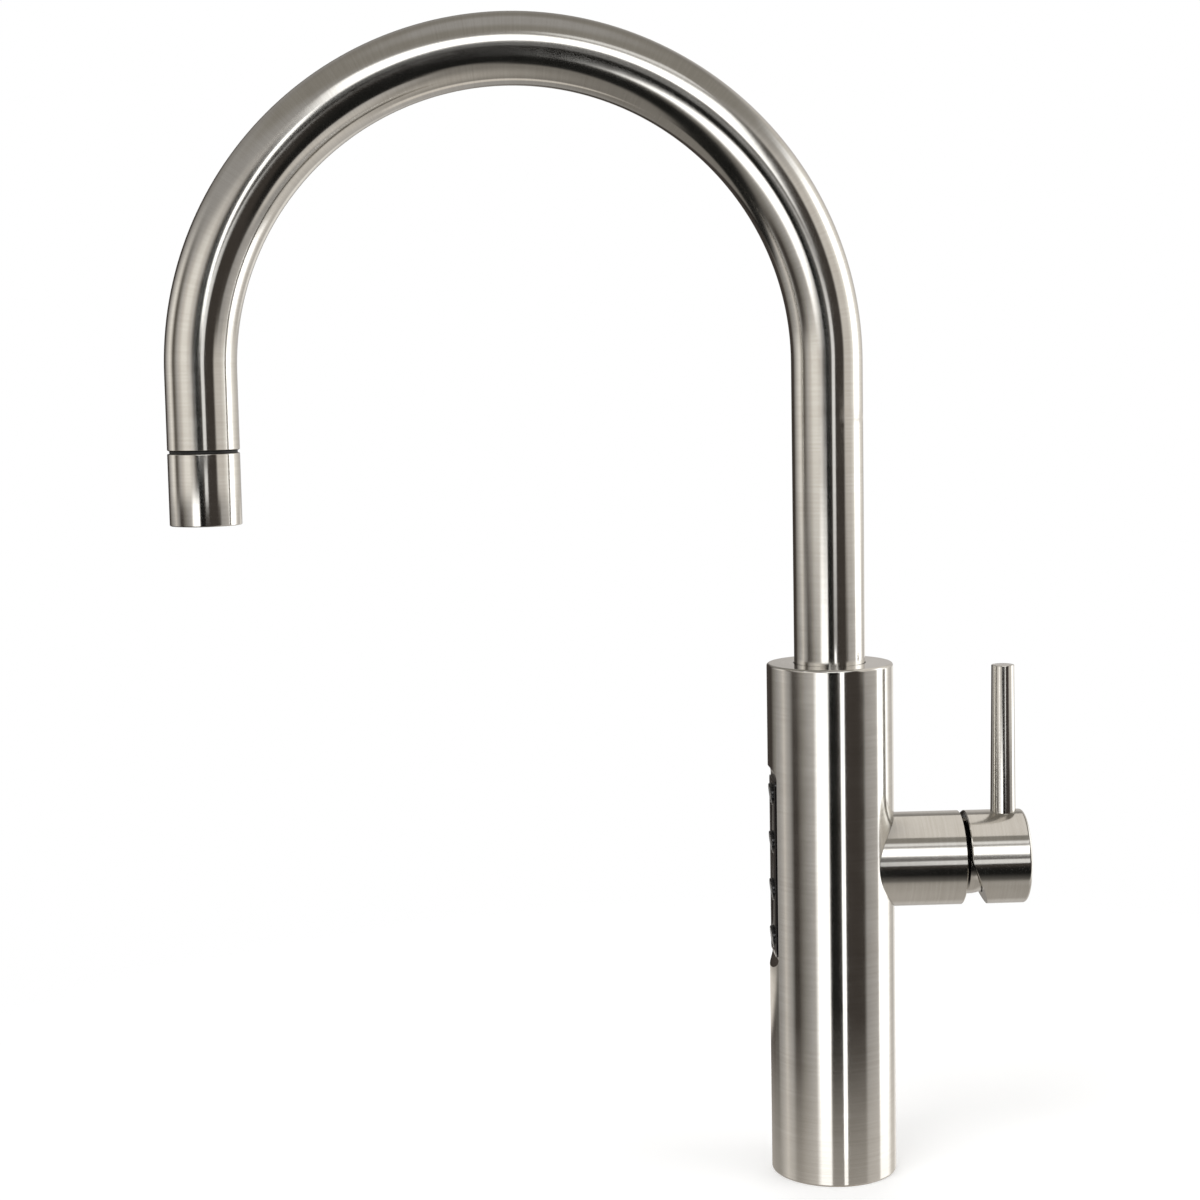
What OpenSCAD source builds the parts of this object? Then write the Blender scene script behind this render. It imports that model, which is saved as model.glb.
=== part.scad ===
// Boiling water tap: a round column, a swan neck spout that swivels, a lever mixer on one side
// and a four-button keypad on the other. Millimetres, Z up. The origin is the centre of the
// column's foot on the worktop. The spout points to minus X, the lever valve to plus X.

/* [Column] */
// Outside diameter of the column
column_d = 50; // [49:0.5:58]
// Height of the column above the worktop
column_h = 206; // [200:1:240]
// Wall of the column
column_wall = 3; // [2.6:0.1:3.4]
// Thickness of the column's closed top
top_t = 5; // [4:0.5:6]
// Radius of the column's top edge
top_edge_r = 1; // [0.5:0.1:2]
// Radius of the column's foot edge
foot_edge_r = 0.8; // [0.4:0.1:1.4]

/* [Spout] */
// Outside diameter of the spout tube
tube_d = 28; // [24:0.5:30]
// Wall of the spout tube
tube_wall = 1.5; // [1.3:0.1:1.8]
// Reach of the spout, from the column's axis to the outlet's axis
spout_reach = 244; // [200:2:280]
// Height of the centre of the arch above the worktop
arch_z = 325; // [300:1:360]
// Straight leg from the arch down to the nozzle's joint line
drop_l = 30.5; // [24:0.5:60]
// Swivel of the spout to each side
swivel_deg = 90; // [45:5:100]

/* [Nozzle] */
// Length of the nozzle below the joint line
nozzle_l = 28; // [26:0.5:36]
// Height of the dark joint line above the nozzle
joint_gap = 1.2; // [0.8:0.1:2]
// Depth of the dark joint line
joint_depth = 0.8; // [0.5:0.1:1]
// Chamfer on the nozzle's edges
nozzle_edge = 0.5; // [0.3:0.1:0.8]
// Outside diameter of the inner tube for filtered water
filter_tube_d = 8; // [7:0.5:9]
// Wall of the inner tube for filtered water
filter_tube_wall = 0.95; // [0.8:0.05:1.1]
// Jet holes round the aerator
jet_count = 16; // [8:1:18]
// Diameter of a jet hole
jet_d = 1.6; // [1.2:0.1:1.8]

/* [Spout bearing] */
// Length of the socket ring that holds the spout
socket_l = 27; // [24:1:32]
// Wall of the bearing bushes
bush_t = 1.2; // [1:0.1:1.6]
// Length of each bearing bush
bush_l = 7; // [5:0.5:8]
// Diameter of the stop screw
stop_d = 5; // [4:0.5:6]
// Diameter of the stop screw's tip
stop_tip_d = 3.2; // [2.6:0.1:3.4]
// Depth of the stop groove in the spout tube
stop_groove = 1; // [0.7:0.1:1.1]
// Thickness of an O-ring in the spout joint
seal_d = 1.9; // [1.7:0.1:2.2]

/* [Mixer valve] */
// Depth of the valve's axis below the column's top
valve_drop = 80; // [76:1:94]
// Outside diameter of the boss and of the lever hub
boss_d = 37.5; // [36:0.5:42]
// Wall of the boss and of the lever hub
boss_wall = 2.75; // [2.5:0.05:3]
// How far the boss stands out of the column
boss_l = 26.7; // [26.4:0.1:34]
// Gap between the boss and the lever hub
hub_gap = 1.8; // [1.2:0.1:2.4]
// Length of the lever hub
hub_l = 23.8; // [23.2:0.1:30]
// Radius of the lever hub's outer edge
hub_edge_r = 1.2; // [0.6:0.1:2]
// Chamfer on the edges beside the gap
gap_edge = 0.4; // [0.2:0.05:0.6]
// Lift of the lever from shut to full flow
flow_deg = 22; // [16:1:24]
// Diameter of the domed nut inside the lever hub
dome_d = 29.2; // [28.8:0.1:29.8]

/* [Lever] */
// Diameter of the lever at its top
lever_top_d = 9; // [7:0.5:10]
// Diameter of the lever at its foot
lever_foot_d = 10; // [9:0.5:11]
// Height of the lever above the hub
lever_l = 58.75; // [40:1.25:80]
// Distance from the hub's end to the lever's axis
lever_inset = 8; // [7:0.1:8.2]
// Radius of the edge at the lever's top
lever_edge = 0.5; // [0.3:0.1:1]

/* [Cartridge] */
// Diameter of the cartridge housing
cartridge_d = 28.2; // [27.6:0.1:28.4]
// Wall of the cartridge housing
cartridge_wall = 1.7; // [1.5:0.05:1.8]
// Distance from the lever's pivot to the centre of the drive ball
arm_l = 14; // [13:0.25:14.5]
// Diameter of the drive ball
ball_d = 6; // [5:0.25:6.5]
// Diameter of the stem in the lever hub
stem_d = 8; // [7:0.25:8.25]
// Diameter of the pivot pin
pivot_d = 3; // [2.5:0.25:3.5]
// Thickness of the moving ceramic disc
moving_disc_t = 2.2; // [1.8:0.1:2.6]
// Thickness of the fixed ceramic disc
fixed_disc_t = 2.8; // [2.4:0.1:3.2]
// Diameter of a water port in the cartridge
port_d = 4; // [3.4:0.1:4]

/* [Keypad] */
// Depth of the keypad's centre below the column's top
keypad_drop = 81.4; // [78:0.2:96]
// Distance between two buttons
key_pitch = 19.3; // [16:0.1:20]
// Diameter of a button
key_d = 9; // [8:0.1:10]
// Travel of a button
key_travel = 0.8; // [0.5:0.1:1]
// Slope of a button's face
key_slope = 7; // [0:0.5:8]
// Depth of the flat recess in the column
recess_depth = 2.2; // [2:0.1:2.4]
// Radius of the run-out at the recess's ends
runout_r = 6; // [4:0.5:12]
// Flat margin beyond the end buttons
key_margin = 2.55; // [2:0.05:6]
// How far the keypad plate stands out of the recess
plate_t = 0.6; // [0.5:0.1:0.9]

/* [Worktop fixing] */
// Diameter of the threaded shank
shank_d = 33; // [31:0.5:34]
// Wall of the shank
shank_wall = 2.3; // [2:0.1:2.5]
// Length of the shank below the worktop's top
shank_l = 58; // [52:1:90]
// Thickness of the worktop that the clamp is set to
worktop_t = 30; // [10:1:34]
// Diameter of the clamp washers
clamp_d = 52; // [46:1:60]
// Width of the clamp nut across its flats
nut_af = 42; // [40:1:46]
// Height of the clamp nut
nut_h = 8.5; // [6:0.5:9]
// Thickness of the gasket under the column
gasket_t = 1.4; // [1:0.1:2]

/* [Water inlets] */
// Diameter of the circle on which the inlets stand
inlet_pcd = 16.8; // [16.6:0.1:17]
// Outside diameter of a supply tube
supply_d = 8; // [7:0.25:8]
// Diameter of the threaded hole in an inlet
inlet_bore_d = 8.9; // [8:0.1:9]
// Width of an inlet across its flats
inlet_af = 11; // [10.6:0.1:11.2]
// Length of an inlet
inlet_l = 13; // [10:0.5:20]

/* [Hidden] */
$fn = 64;
eps = 0.01;
big = 400;
over = 1;            // how far a cut runs past the face that it opens

// Clearances
run_fit = 0.06;      // radial play of a part that turns or slides in another
still_fit = 0.05;    // radial play of a part that stays put in another
face_gap = 0.3;      // play between faces of two parts that move apart
lap_gap = 0.05;      // play between the two lapped ceramic discs

// Colours
steel_c = "#b8b5ae";
brass_c = "#c2a35c";
rubber_c = "#262626";
nylon_c = "#e6e2d6";
ceramic_c = "#f2f0ea";
black_c = "#1b1b1d";
key_c = "#c9c9c6";
board_c = "#2f6b45";

// Column
column_r = column_d / 2;
column_in_r = column_r - column_wall;
tube_r = tube_d / 2;
tube_in_r = tube_r - tube_wall;
top_bore_r = tube_r + 0.35;
gasket_in_r = shank_d / 2 + 0.7;
gasket_out_r = column_in_r - 0.4;

// Stack inside the top of the column
socket_z1 = column_h - top_t;
socket_z0 = socket_z1 - socket_l;
socket_bore_r = tube_r + bush_t;
stop_z = socket_z0 + socket_l / 2;
tube_z0 = socket_z0 - 1.5;
thrust_t = 1.2;
head_z = tube_z0 - face_gap - thrust_t;
head_l = 8;
spigot_r = tube_in_r - face_gap;
spigot_l = 26;
seal_groove_r = tube_in_r - run_fit - seal_d;
seal_groove_w = seal_d + 0.4;
seal_zs = [head_z + 7, head_z + 16];
riser_wall = 0.9;
riser_over = 6;
stop_key = 2.5;
stop_key_depth = 3;
stop_sunk = 1;

// Spout
bend_r = spout_reach / 2;
joint_z = arch_z - drop_l;
tube_z1 = joint_z + joint_gap / 2;
sleeve_z1 = joint_z - joint_gap / 2;
sleeve_z0 = sleeve_z1 - nozzle_l;
filter_r = filter_tube_d / 2;
filter_in_r = filter_r - filter_tube_wall;
filter_riser_r = filter_in_r - run_fit;
filter_gap = 1;
adapter_r = tube_in_r - still_fit;
adapter_wall = 1.9;
adapter_in_r = adapter_r - adapter_wall;
adapter_up = 12;
adapter_z0 = sleeve_z1 - 11;
lip_h = 1.6;
lip_r = tube_in_r - 1.3;
aerator_z1 = adapter_z0 - still_fit;
aerator_z0 = sleeve_z0 + lip_h;
aerator_floor_t = 1.8;
collar_r = filter_r + 1.2;
screen_t = 1;
filter_tube_z1 = sleeve_z0 + 0.6;

// Mixer valve, measured along X from the column's axis
valve_z = column_h - valve_drop;
boss_r = boss_d / 2;
boss_bore_r = boss_r - boss_wall;
boss_x1 = column_r + boss_l;
hub_x0 = boss_x1 + hub_gap;
hub_x1 = hub_x0 + hub_l;
pivot_x = hub_x0 + 0.9;
dome_r = dome_d / 2;
dome_wall = 1.6;
dome_in_r = dome_r - dome_wall;
dome_cut = 9.5;
cavity_r = dome_r + 0.6;
hub_mouth_l = 4.6;
bevel_deg = flow_deg + 0.1;
lever_x = hub_x1 - lever_inset;
lever_seat = 2.5;
lever_spigot_d = 6;
lever_spigot_l = 4.75;
stem_r = stem_d / 2;
stem_x1 = hub_x1 - 1.3;
screw_x = hub_x1 - 4.6;
screw_r = 2;
screw_sunk = 1.6;
screw_key = 2;

// Cartridge, also along X
ball_r = ball_d / 2;
ball_x = pivot_x - arm_l;
disc_travel = arm_l * sin(flow_deg);
disc_shift = disc_travel / 2;
arm_r = 2;
drive_r = ball_r + face_gap;
slider_x1 = ball_x + 2;
drive_x0 = ball_x - ball_r - 1;
slider_floor_t = 0.8;
slider_x0 = drive_x0 - slider_floor_t;
slider_r = 9.4;
slider_half_w = 8;
moving_x0 = slider_x0 - moving_disc_t;
moving_r = 9.2;
pocket_rim = 1;
pocket_hub_r = 2;
pocket_fan = 53;
fixed_x1 = moving_x0 - lap_gap;
fixed_x0 = fixed_x1 - fixed_disc_t;
base_t = 3.2;
base_x0 = fixed_x0 - base_t;
seal_proud = 0.3;
ring_t = 1;
ring_wall = 0.9;
floor_x = base_x0 - seal_proud;
housing_r = cartridge_d / 2;
housing_in_r = housing_r - cartridge_wall;
housing_x1 = pivot_x - 6.9;
chamber_mouth_x = pivot_x - 9.4;
chamber_wall_r = housing_r + 0.1;
nut_x0 = chamber_mouth_x + face_gap;
nut_inset = 0.5;
carrier_r = housing_in_r - 0.08;
carrier_x0 = slider_x1 + 0.4;
carrier_step_x = housing_x1 - face_gap;
carrier_x1 = pivot_x - 4.4;
neck_in_r = carrier_r - 0.7;
carrier_top_r = neck_in_r - face_gap;
ear_y0 = 4.6;
ear_t = 4;
ear_half_z = 4.2;
guide_half_z = 6;
guide_gap = 0.6;
eye_r = 4;
pivot_r = pivot_d / 2;
slot_gap = 0.4;
slot_half_y = ball_r + face_gap;
slot_z0 = -arm_r - slot_gap;
slot_z1 = disc_travel + ball_r + face_gap;
port_r = port_d / 2;
inlet_port_y = 3.7;
inlet_port_z = 2.6;
outlet_port_z = -4.4;
supply_port_y = 5.3;

// Manifold
manifold_r = 13;
manifold_z0 = valve_z - 26;
mix_chamber_z0 = valve_z + 26;
riser_z0 = valve_z + 15;
cross_z = valve_z + 8;
mix_x = 6.2;
passage_r = 2.2;
centre_r = 2.6;
drill_over = 0.3;
pad_x = manifold_r + 0.5;
pad_w = 25;
socket_r = boss_bore_r - still_fit;
socket_screw_r = 1.5;
socket_head_r = 2.75;
socket_head_h = 3;
socket_key_floor = 1;
socket_screw_x = 4.5;
socket_screw_ring_r = chamber_wall_r - socket_head_r - 0.35;
socket_screw_angles = [46, 134, 270];

// Supply tubes and inlets
supply_r = supply_d / 2;
supply_in_r = supply_r - 1;
inlet_p = inlet_pcd / 2;
tube_seat = 5;
hot_a = 45;
cold_a = -45;
boiling_a = 135;
chilled_a = -135;
plate_h = 8;
plate_z0 = -shank_l;
plate_z1 = plate_z0 + plate_h;
plate_seat = 4;
inlet_blind = 2;
inlet_turn = 22.5;
gland_r = 2.2;
gland_hole_r = 1.3;
gland_lip = 0.3;
gland_lip_h = 1.3;

// Worktop fixing
shank_r = shank_d / 2;
shank_in_r = shank_r - shank_wall;
flange_t = 7.6;
clamp_seal_t = 3;
clamp_washer_t = 1.5;
clamp_hole_r = shank_r + 0.5;

// Keypad
keypad_z = column_h - keypad_drop;
flat_x = -(column_r - recess_depth);
flat_half_w = sqrt(column_r * column_r - flat_x * flat_x);
flat_l = 3 * key_pitch + key_d + 2 * key_margin;
plate_x = flat_x - plate_t;
plate_w = 2 * flat_half_w - 0.9;
plate_l = flat_l - 1;
plate_corner_r = 2;
key_r = key_d / 2;
key_well_r = key_r + face_gap;
key_cap_x = plate_x + 0.4;
key_proud = 0.95;
key_blank = 3;
over_travel = 0.4;
key_well_x = key_cap_x + key_travel + over_travel;
key_stem_r = 2.6;
key_pin_r = 1.2;
key_guide_l = 2;
web_x = key_well_x + key_guide_l;
tray_w = 14.6;
tray_wall = 0.8;
tray_corner_r = 1;
tray_l = 3 * key_pitch + key_d + 2 * face_gap + 2 * tray_wall;
switch_gap = 0.4;
switch_w = 6;
switch_h = 3.4;
pin_seat = 0.5;
switch_x = web_x + switch_gap;
board_x = switch_x + switch_h;
board_t = 1.6;
screw_head_h = 0.9;
screw_head_r = 1.1;
screw_edge = 1.6;
key_zs = [for (i = [0:3]) keypad_z + (1.5 - i) * key_pitch];

// Helpers

// A round pipe along Z
module pipe(r_out, r_in, h) {
    difference() {
        cylinder(r = r_out, h = h);
        translate([0, 0, -eps]) cylinder(r = r_in, h = h + 2 * eps);
    }
}

// Turns what is drawn along Z so that it lies along X on the valve's axis, from x0 on
module on_valve(x0) {
    translate([x0, 0, valve_z]) rotate([0, 90, 0]) children();
}

// Moves what is drawn at the valve's axis sideways by y and up by z
module at_port(y, z) {
    translate([-z, y, 0]) children();
}

// Moves what is drawn at the centre out to an inlet's place
module at_inlet(a) {
    translate([inlet_p * cos(a), inlet_p * sin(a), 0]) children();
}

// Everything beyond the plane at y, on the side that side names
module beyond_y(y, side) {
    translate([-big / 2, side > 0 ? y : -big - y, -big / 2]) cube([big, big, big]);
}

// Half the section of a turned part, with both of its outer edges rounded
module turned_outline(r, h, low_r, high_r) {
    translate([0, low_r]) square([r, h - low_r - high_r]);
    square([r - low_r, low_r + eps]);
    translate([0, h - high_r - eps]) square([r - high_r, high_r + eps]);
    translate([r - low_r, low_r]) circle(r = low_r);
    translate([r - high_r, h - high_r]) circle(r = high_r);
}

// The path of the spout as a solid rod of radius r, from height z0 to height z1
module swan_neck(r, z0, z1) {
    translate([0, 0, z0]) cylinder(r = r, h = arch_z - z0);
    translate([-bend_r, 0, arch_z]) rotate([90, 0, 0])
        rotate_extrude(angle = 180) translate([bend_r, 0]) circle(r = r);
    translate([-spout_reach, 0, z1]) cylinder(r = r, h = arch_z - z1);
}

// A plate with round corners in the Y Z plane, from x0 to x1
module key_slab(x0, x1, w, l, corner_r) {
    translate([x0, 0, keypad_z]) rotate([0, 90, 0]) linear_extrude(height = x1 - x0) {
        square([l - 2 * corner_r, w], center = true);
        square([l, w - 2 * corner_r], center = true);
        for (i = [-1, 1], j = [-1, 1])
            translate([i * (l / 2 - corner_r), j * (w / 2 - corner_r)]) circle(r = corner_r);
    }
}

// A round bar along X at the height of a button
module key_bar(x0, x1, r, z) {
    translate([x0, 0, z]) rotate([0, 90, 0]) cylinder(r = r, h = x1 - x0);
}

// Column and fixing

// The flat recess for the keypad, as the shape that is cut away
module recess_cut() {
    flat_z0 = keypad_z - flat_l / 2;
    translate([flat_x - big, -big / 2, flat_z0]) cube([big, big, flat_l]);
    for (z = [flat_z0, flat_z0 + flat_l])
        translate([flat_x - runout_r, -big / 2, z]) rotate([-90, 0, 0])
            cylinder(r = runout_r, h = big);
}

module column_shell() {
    color(steel_c) difference() {
        rotate_extrude() difference() {
            turned_outline(column_r, column_h, foot_edge_r, top_edge_r);
            translate([-eps, -eps]) square([column_in_r + eps, socket_z1 + eps]);
            square([top_bore_r, column_h + over]);
        }
        recess_cut();
        key_slab(-column_r - over, -column_in_r / 2,
            tray_w + 2 * still_fit, tray_l + 2 * still_fit, tray_corner_r);
        on_valve(0) cylinder(r = boss_bore_r, h = column_r + over);
        translate([0, 0, stop_z]) rotate([-90, 0, 0])
            cylinder(r = stop_d / 2 + still_fit, h = column_r + over);
    }
}

module base_gasket() {
    color(rubber_c) pipe(gasket_out_r, gasket_in_r, gasket_t);
}

module shank() {
    color(brass_c) difference() {
        union() {
            translate([0, 0, -shank_l]) cylinder(r = shank_r, h = shank_l + gasket_t + eps);
            translate([0, 0, gasket_t]) cylinder(r = column_in_r - still_fit, h = flange_t);
        }
        translate([0, 0, -shank_l - over])
            cylinder(r = shank_in_r, h = shank_l + gasket_t + flange_t + 2 * over);
    }
}

module inlet_plate() {
    color(brass_c) difference() {
        translate([0, 0, plate_z0]) cylinder(r = shank_in_r - still_fit, h = plate_h);
        for (a = [hot_a, cold_a, boiling_a, chilled_a]) at_inlet(a) {
            translate([0, 0, plate_z0 - over]) cylinder(r = supply_in_r, h = plate_h + 2 * over);
            translate([0, 0, plate_z1 - plate_seat])
                cylinder(r = supply_r + still_fit, h = plate_seat + over);
        }
        translate([0, 0, plate_z0 - over]) cylinder(r = gland_r, h = plate_h + 2 * over);
    }
}

// A rubber sleeve with a lip on both sides of the plate, for the keypad's lead
module cable_gland() {
    gland_l = plate_h + 2 * gland_lip_h;
    color(rubber_c) translate([0, 0, plate_z0 - gland_lip_h]) difference() {
        union() {
            cylinder(r = gland_r, h = gland_l);
            for (z = [0, gland_l - gland_lip_h]) translate([0, 0, z])
                cylinder(r = gland_r + gland_lip, h = gland_lip_h);
        }
        translate([0, 0, -over]) cylinder(r = gland_hole_r, h = gland_l + 2 * over);
    }
}

// Eight flats, so that a flat faces each neighbour and the gland in the middle
module water_inlet(a) {
    color(brass_c) at_inlet(a) translate([0, 0, plate_z0 - inlet_l]) difference() {
        rotate([0, 0, inlet_turn]) cylinder(d = inlet_af / cos(inlet_turn), h = inlet_l, $fn = 8);
        translate([0, 0, -over]) cylinder(d = inlet_bore_d, h = inlet_l - inlet_blind + over);
        cylinder(r = supply_in_r, h = inlet_l + over);
    }
}

module hot_inlet() { water_inlet(hot_a); }

module cold_inlet() { water_inlet(cold_a); }

module boiling_inlet() { water_inlet(boiling_a); }

module chilled_inlet() { water_inlet(chilled_a); }

module supply_tube(a) {
    z0 = plate_z1 - plate_seat;
    color(steel_c) at_inlet(a) translate([0, 0, z0])
        pipe(supply_r, supply_in_r, manifold_z0 + tube_seat - z0);
}

module hot_tube() { supply_tube(hot_a); }

module cold_tube() { supply_tube(cold_a); }

module boiling_tube() { supply_tube(boiling_a); }

module chilled_tube() { supply_tube(chilled_a); }

module clamp_seal() {
    color(rubber_c) translate([0, 0, -worktop_t - clamp_seal_t])
        pipe(clamp_d / 2, clamp_hole_r, clamp_seal_t);
}

module clamp_washer() {
    color(steel_c) translate([0, 0, -worktop_t - clamp_seal_t - clamp_washer_t])
        pipe(clamp_d / 2, clamp_hole_r, clamp_washer_t);
}

module clamp_nut() {
    color(brass_c) translate([0, 0, -worktop_t - clamp_seal_t - clamp_washer_t - nut_h])
        difference() {
            cylinder(d = nut_af / cos(30), h = nut_h, $fn = 6);
            translate([0, 0, -over]) cylinder(r = shank_r + run_fit, h = nut_h + 2 * over);
        }
}

// Waterways

// The passages of hot, cold, mixed and filtered water, as the shape that is cut away
module waterways() {
    inlet_top = valve_z + inlet_port_z + port_r + drill_over;
    cross_top = cross_z + passage_r + drill_over;
    mixed_floor = valve_z + outlet_port_z - port_r - drill_over;
    centre_floor = cross_z - passage_r - drill_over;
    for (s = [-1, 1]) {
        // Supply up to the hot or cold port of the cartridge
        at_inlet(s * hot_a) translate([0, 0, manifold_z0 - over])
            cylinder(r = supply_in_r, h = inlet_top - manifold_z0 + over);
        on_valve(inlet_p * cos(hot_a)) at_port(s * supply_port_y, inlet_port_z)
            cylinder(r = port_r, h = pad_x);
        // Filtered supply up to the cross passage, and across to the centre
        at_inlet(s * boiling_a) translate([0, 0, manifold_z0 - over])
            cylinder(r = supply_in_r, h = cross_top - manifold_z0 + over);
        translate([0, 0, cross_z]) rotate([0, -90, s * (boiling_a - 180)])
            cylinder(r = passage_r, h = inlet_p);
    }
    for (a = [hot_a, cold_a, boiling_a, chilled_a]) at_inlet(a)
        translate([0, 0, manifold_z0 - over])
            cylinder(r = supply_r + still_fit, h = tube_seat + over);
    // Centre up to the filter riser
    translate([0, 0, centre_floor]) cylinder(r = centre_r, h = riser_z0 - centre_floor + over);
    translate([0, 0, riser_z0])
        cylinder(r = filter_riser_r + still_fit, h = mix_chamber_z0 - riser_z0 + over);
    // Mixed water back to the middle and up into the spout
    on_valve(mix_x) at_port(0, outlet_port_z) cylinder(r = port_r, h = pad_x);
    translate([mix_x, 0, mixed_floor])
        cylinder(r = passage_r, h = mix_chamber_z0 - mixed_floor + over);
    translate([0, 0, mix_chamber_z0]) cylinder(r = mix_x + passage_r + drill_over, h = big);
}

// The brass body that the four supply tubes stand in and the spout turns on
module water_manifold() {
    color(brass_c) difference() {
        union() {
            rotate_extrude() difference() {
                polygon([
                    [0, manifold_z0], [manifold_r, manifold_z0], [manifold_r, head_z - head_l],
                    [tube_r, head_z - head_l], [tube_r, head_z], [spigot_r, head_z],
                    [spigot_r, head_z + spigot_l], [0, head_z + spigot_l]
                ]);
                for (z = seal_zs) translate([seal_groove_r, z - seal_groove_w / 2])
                    square([seal_d + over, seal_groove_w]);
            }
            translate([0, -pad_w / 2, valve_z - socket_r]) cube([pad_x, pad_w, 2 * socket_r]);
        }
        waterways();
        on_valve(socket_screw_x) each_socket_screw()
            cylinder(r = socket_screw_r + still_fit, h = pad_x);
    }
}

module filter_riser() {
    color(steel_c) translate([0, 0, riser_z0])
        pipe(filter_riser_r, filter_riser_r - riser_wall, head_z + spigot_l + riser_over - riser_z0);
}

module spout_seals() {
    color(rubber_c) for (z = seal_zs) translate([0, 0, z])
        rotate_extrude() translate([seal_groove_r + seal_d / 2, 0]) circle(d = seal_d);
}

module thrust_washer() {
    color(nylon_c) translate([0, 0, head_z]) pipe(tube_r, spigot_r + still_fit, thrust_t);
}

module spout_socket() {
    color(brass_c) difference() {
        translate([0, 0, socket_z0]) pipe(column_in_r - still_fit, socket_bore_r, socket_l);
        translate([0, 0, stop_z]) rotate([-90, 0, 0])
            cylinder(r = stop_d / 2 + still_fit, h = column_r);
    }
}

module spout_bushes() {
    color(nylon_c) for (z = [socket_z0, socket_z1 - bush_l]) translate([0, 0, z])
        pipe(socket_bore_r - still_fit / 2, tube_r + run_fit, bush_l);
}

// The screw stands on the back of the column, and its tip runs in the spout's groove
module spout_stop_screw() {
    tip_y = tube_r - stop_groove + face_gap;
    color(steel_c) translate([0, 0, stop_z]) rotate([-90, 0, 0]) difference() {
        union() {
            translate([0, 0, socket_bore_r + face_gap])
                cylinder(d = stop_d, h = column_r - stop_sunk - socket_bore_r - face_gap);
            translate([0, 0, tip_y]) cylinder(d = stop_tip_d, h = socket_bore_r - tip_y + over);
        }
        translate([0, 0, column_r - stop_sunk - stop_key_depth])
            cylinder(d = stop_key / cos(30), h = stop_key_depth + over, $fn = 6);
    }
}

// Spout

// The arc of the stop groove, wide enough for the tip at both ends of the swivel
module stop_groove_cut() {
    tip_half = asin((stop_tip_d / 2 + face_gap) / (tube_r - stop_groove));
    half = swivel_deg + tip_half;
    h = stop_tip_d + 2 * face_gap;
    translate([0, 0, stop_z - h / 2]) rotate([0, 0, 90 - half])
        rotate_extrude(angle = 2 * half)
            translate([tube_r - stop_groove, 0]) square([stop_groove + over, h]);
}

module spout_tube() {
    color(steel_c) difference() {
        swan_neck(tube_r, tube_z0, tube_z1);
        swan_neck(tube_in_r, tube_z0 - over, tube_z1 - over);
        stop_groove_cut();
    }
}

module filter_tube() {
    z0 = head_z + spigot_l + filter_gap;
    color(nylon_c) difference() {
        swan_neck(filter_r, z0, filter_tube_z1);
        swan_neck(filter_in_r, z0 - over, filter_tube_z1 - over);
    }
}

module nozzle_adapter() {
    color(brass_c) translate([-spout_reach, 0, adapter_z0])
        pipe(adapter_r, adapter_in_r, tube_z1 + adapter_up - adapter_z0);
}

module nozzle_gasket() {
    color(rubber_c) translate([-spout_reach, 0, sleeve_z1])
        pipe(tube_r - joint_depth, adapter_r + still_fit / 2, joint_gap);
}

module nozzle_sleeve() {
    color(steel_c) translate([-spout_reach, 0, sleeve_z0]) rotate_extrude() difference() {
        polygon([
            [lip_r, 0], [tube_r - nozzle_edge, 0], [tube_r, nozzle_edge],
            [tube_r, nozzle_l - nozzle_edge / 2], [tube_r - nozzle_edge / 2, nozzle_l],
            [lip_r, nozzle_l]
        ]);
        translate([0, lip_h]) square([tube_in_r, nozzle_l]);
    }
}

// A cup with a ring of jets round the filtered water's own outlet
module aerator() {
    color(nylon_c) translate([-spout_reach, 0, aerator_z0]) difference() {
        cylinder(r = adapter_r, h = aerator_z1 - aerator_z0);
        translate([0, 0, aerator_floor_t]) difference() {
            cylinder(r = adapter_in_r, h = nozzle_l);
            cylinder(r = collar_r, h = nozzle_l);
        }
        translate([0, 0, -over]) cylinder(r = filter_r + still_fit, h = nozzle_l);
        for (i = [0:jet_count - 1]) rotate([0, 0, i * 360 / jet_count])
            translate([(lip_r + filter_r) / 2, 0, -over])
                cylinder(d = jet_d, h = aerator_floor_t + 2 * over);
    }
}

module aerator_screen() {
    color(steel_c) translate([-spout_reach, 0, aerator_z0 + aerator_floor_t])
        pipe(adapter_in_r - still_fit, collar_r + still_fit, screen_t);
}

// Mixer valve

module mixer_boss() {
    color(steel_c) difference() {
        on_valve(0) rotate_extrude() difference() {
            polygon([
                [0, 0], [boss_r, 0], [boss_r, boss_x1 - gap_edge],
                [boss_r - gap_edge, boss_x1], [0, boss_x1]
            ]);
            translate([-eps, -over]) square([boss_bore_r + eps, boss_x1 + 2 * over]);
        }
        cylinder(r = column_r + still_fit, h = column_h);
    }
}

// Places a shape at each of the three ports, with the hot and cold ones y from the middle
module each_port(y) {
    for (s = [-1, 1]) at_port(s * y, inlet_port_z) children();
    at_port(0, outlet_port_z) children();
}

// Places a shape at each of the socket's screws
module each_socket_screw() {
    for (a = socket_screw_angles)
        at_port(socket_screw_ring_r * cos(a), socket_screw_ring_r * sin(a)) children();
}

// The brass cup that takes the cartridge, put in through the boss and screwed to the manifold
module cartridge_socket() {
    color(brass_c) difference() {
        on_valve(pad_x) cylinder(r = socket_r, h = chamber_mouth_x - pad_x);
        on_valve(floor_x) cylinder(r = chamber_wall_r, h = big);
        on_valve(0) each_port(supply_port_y) cylinder(r = port_r, h = big);
        on_valve(0) each_port(supply_port_y)
            cylinder(r = port_r + ring_wall + still_fit, h = pad_x + ring_t);
        on_valve(0) each_socket_screw() cylinder(r = socket_screw_r + still_fit, h = big);
        on_valve(floor_x - socket_head_h - face_gap) each_socket_screw()
            cylinder(r = socket_head_r + still_fit, h = big);
    }
}

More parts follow.
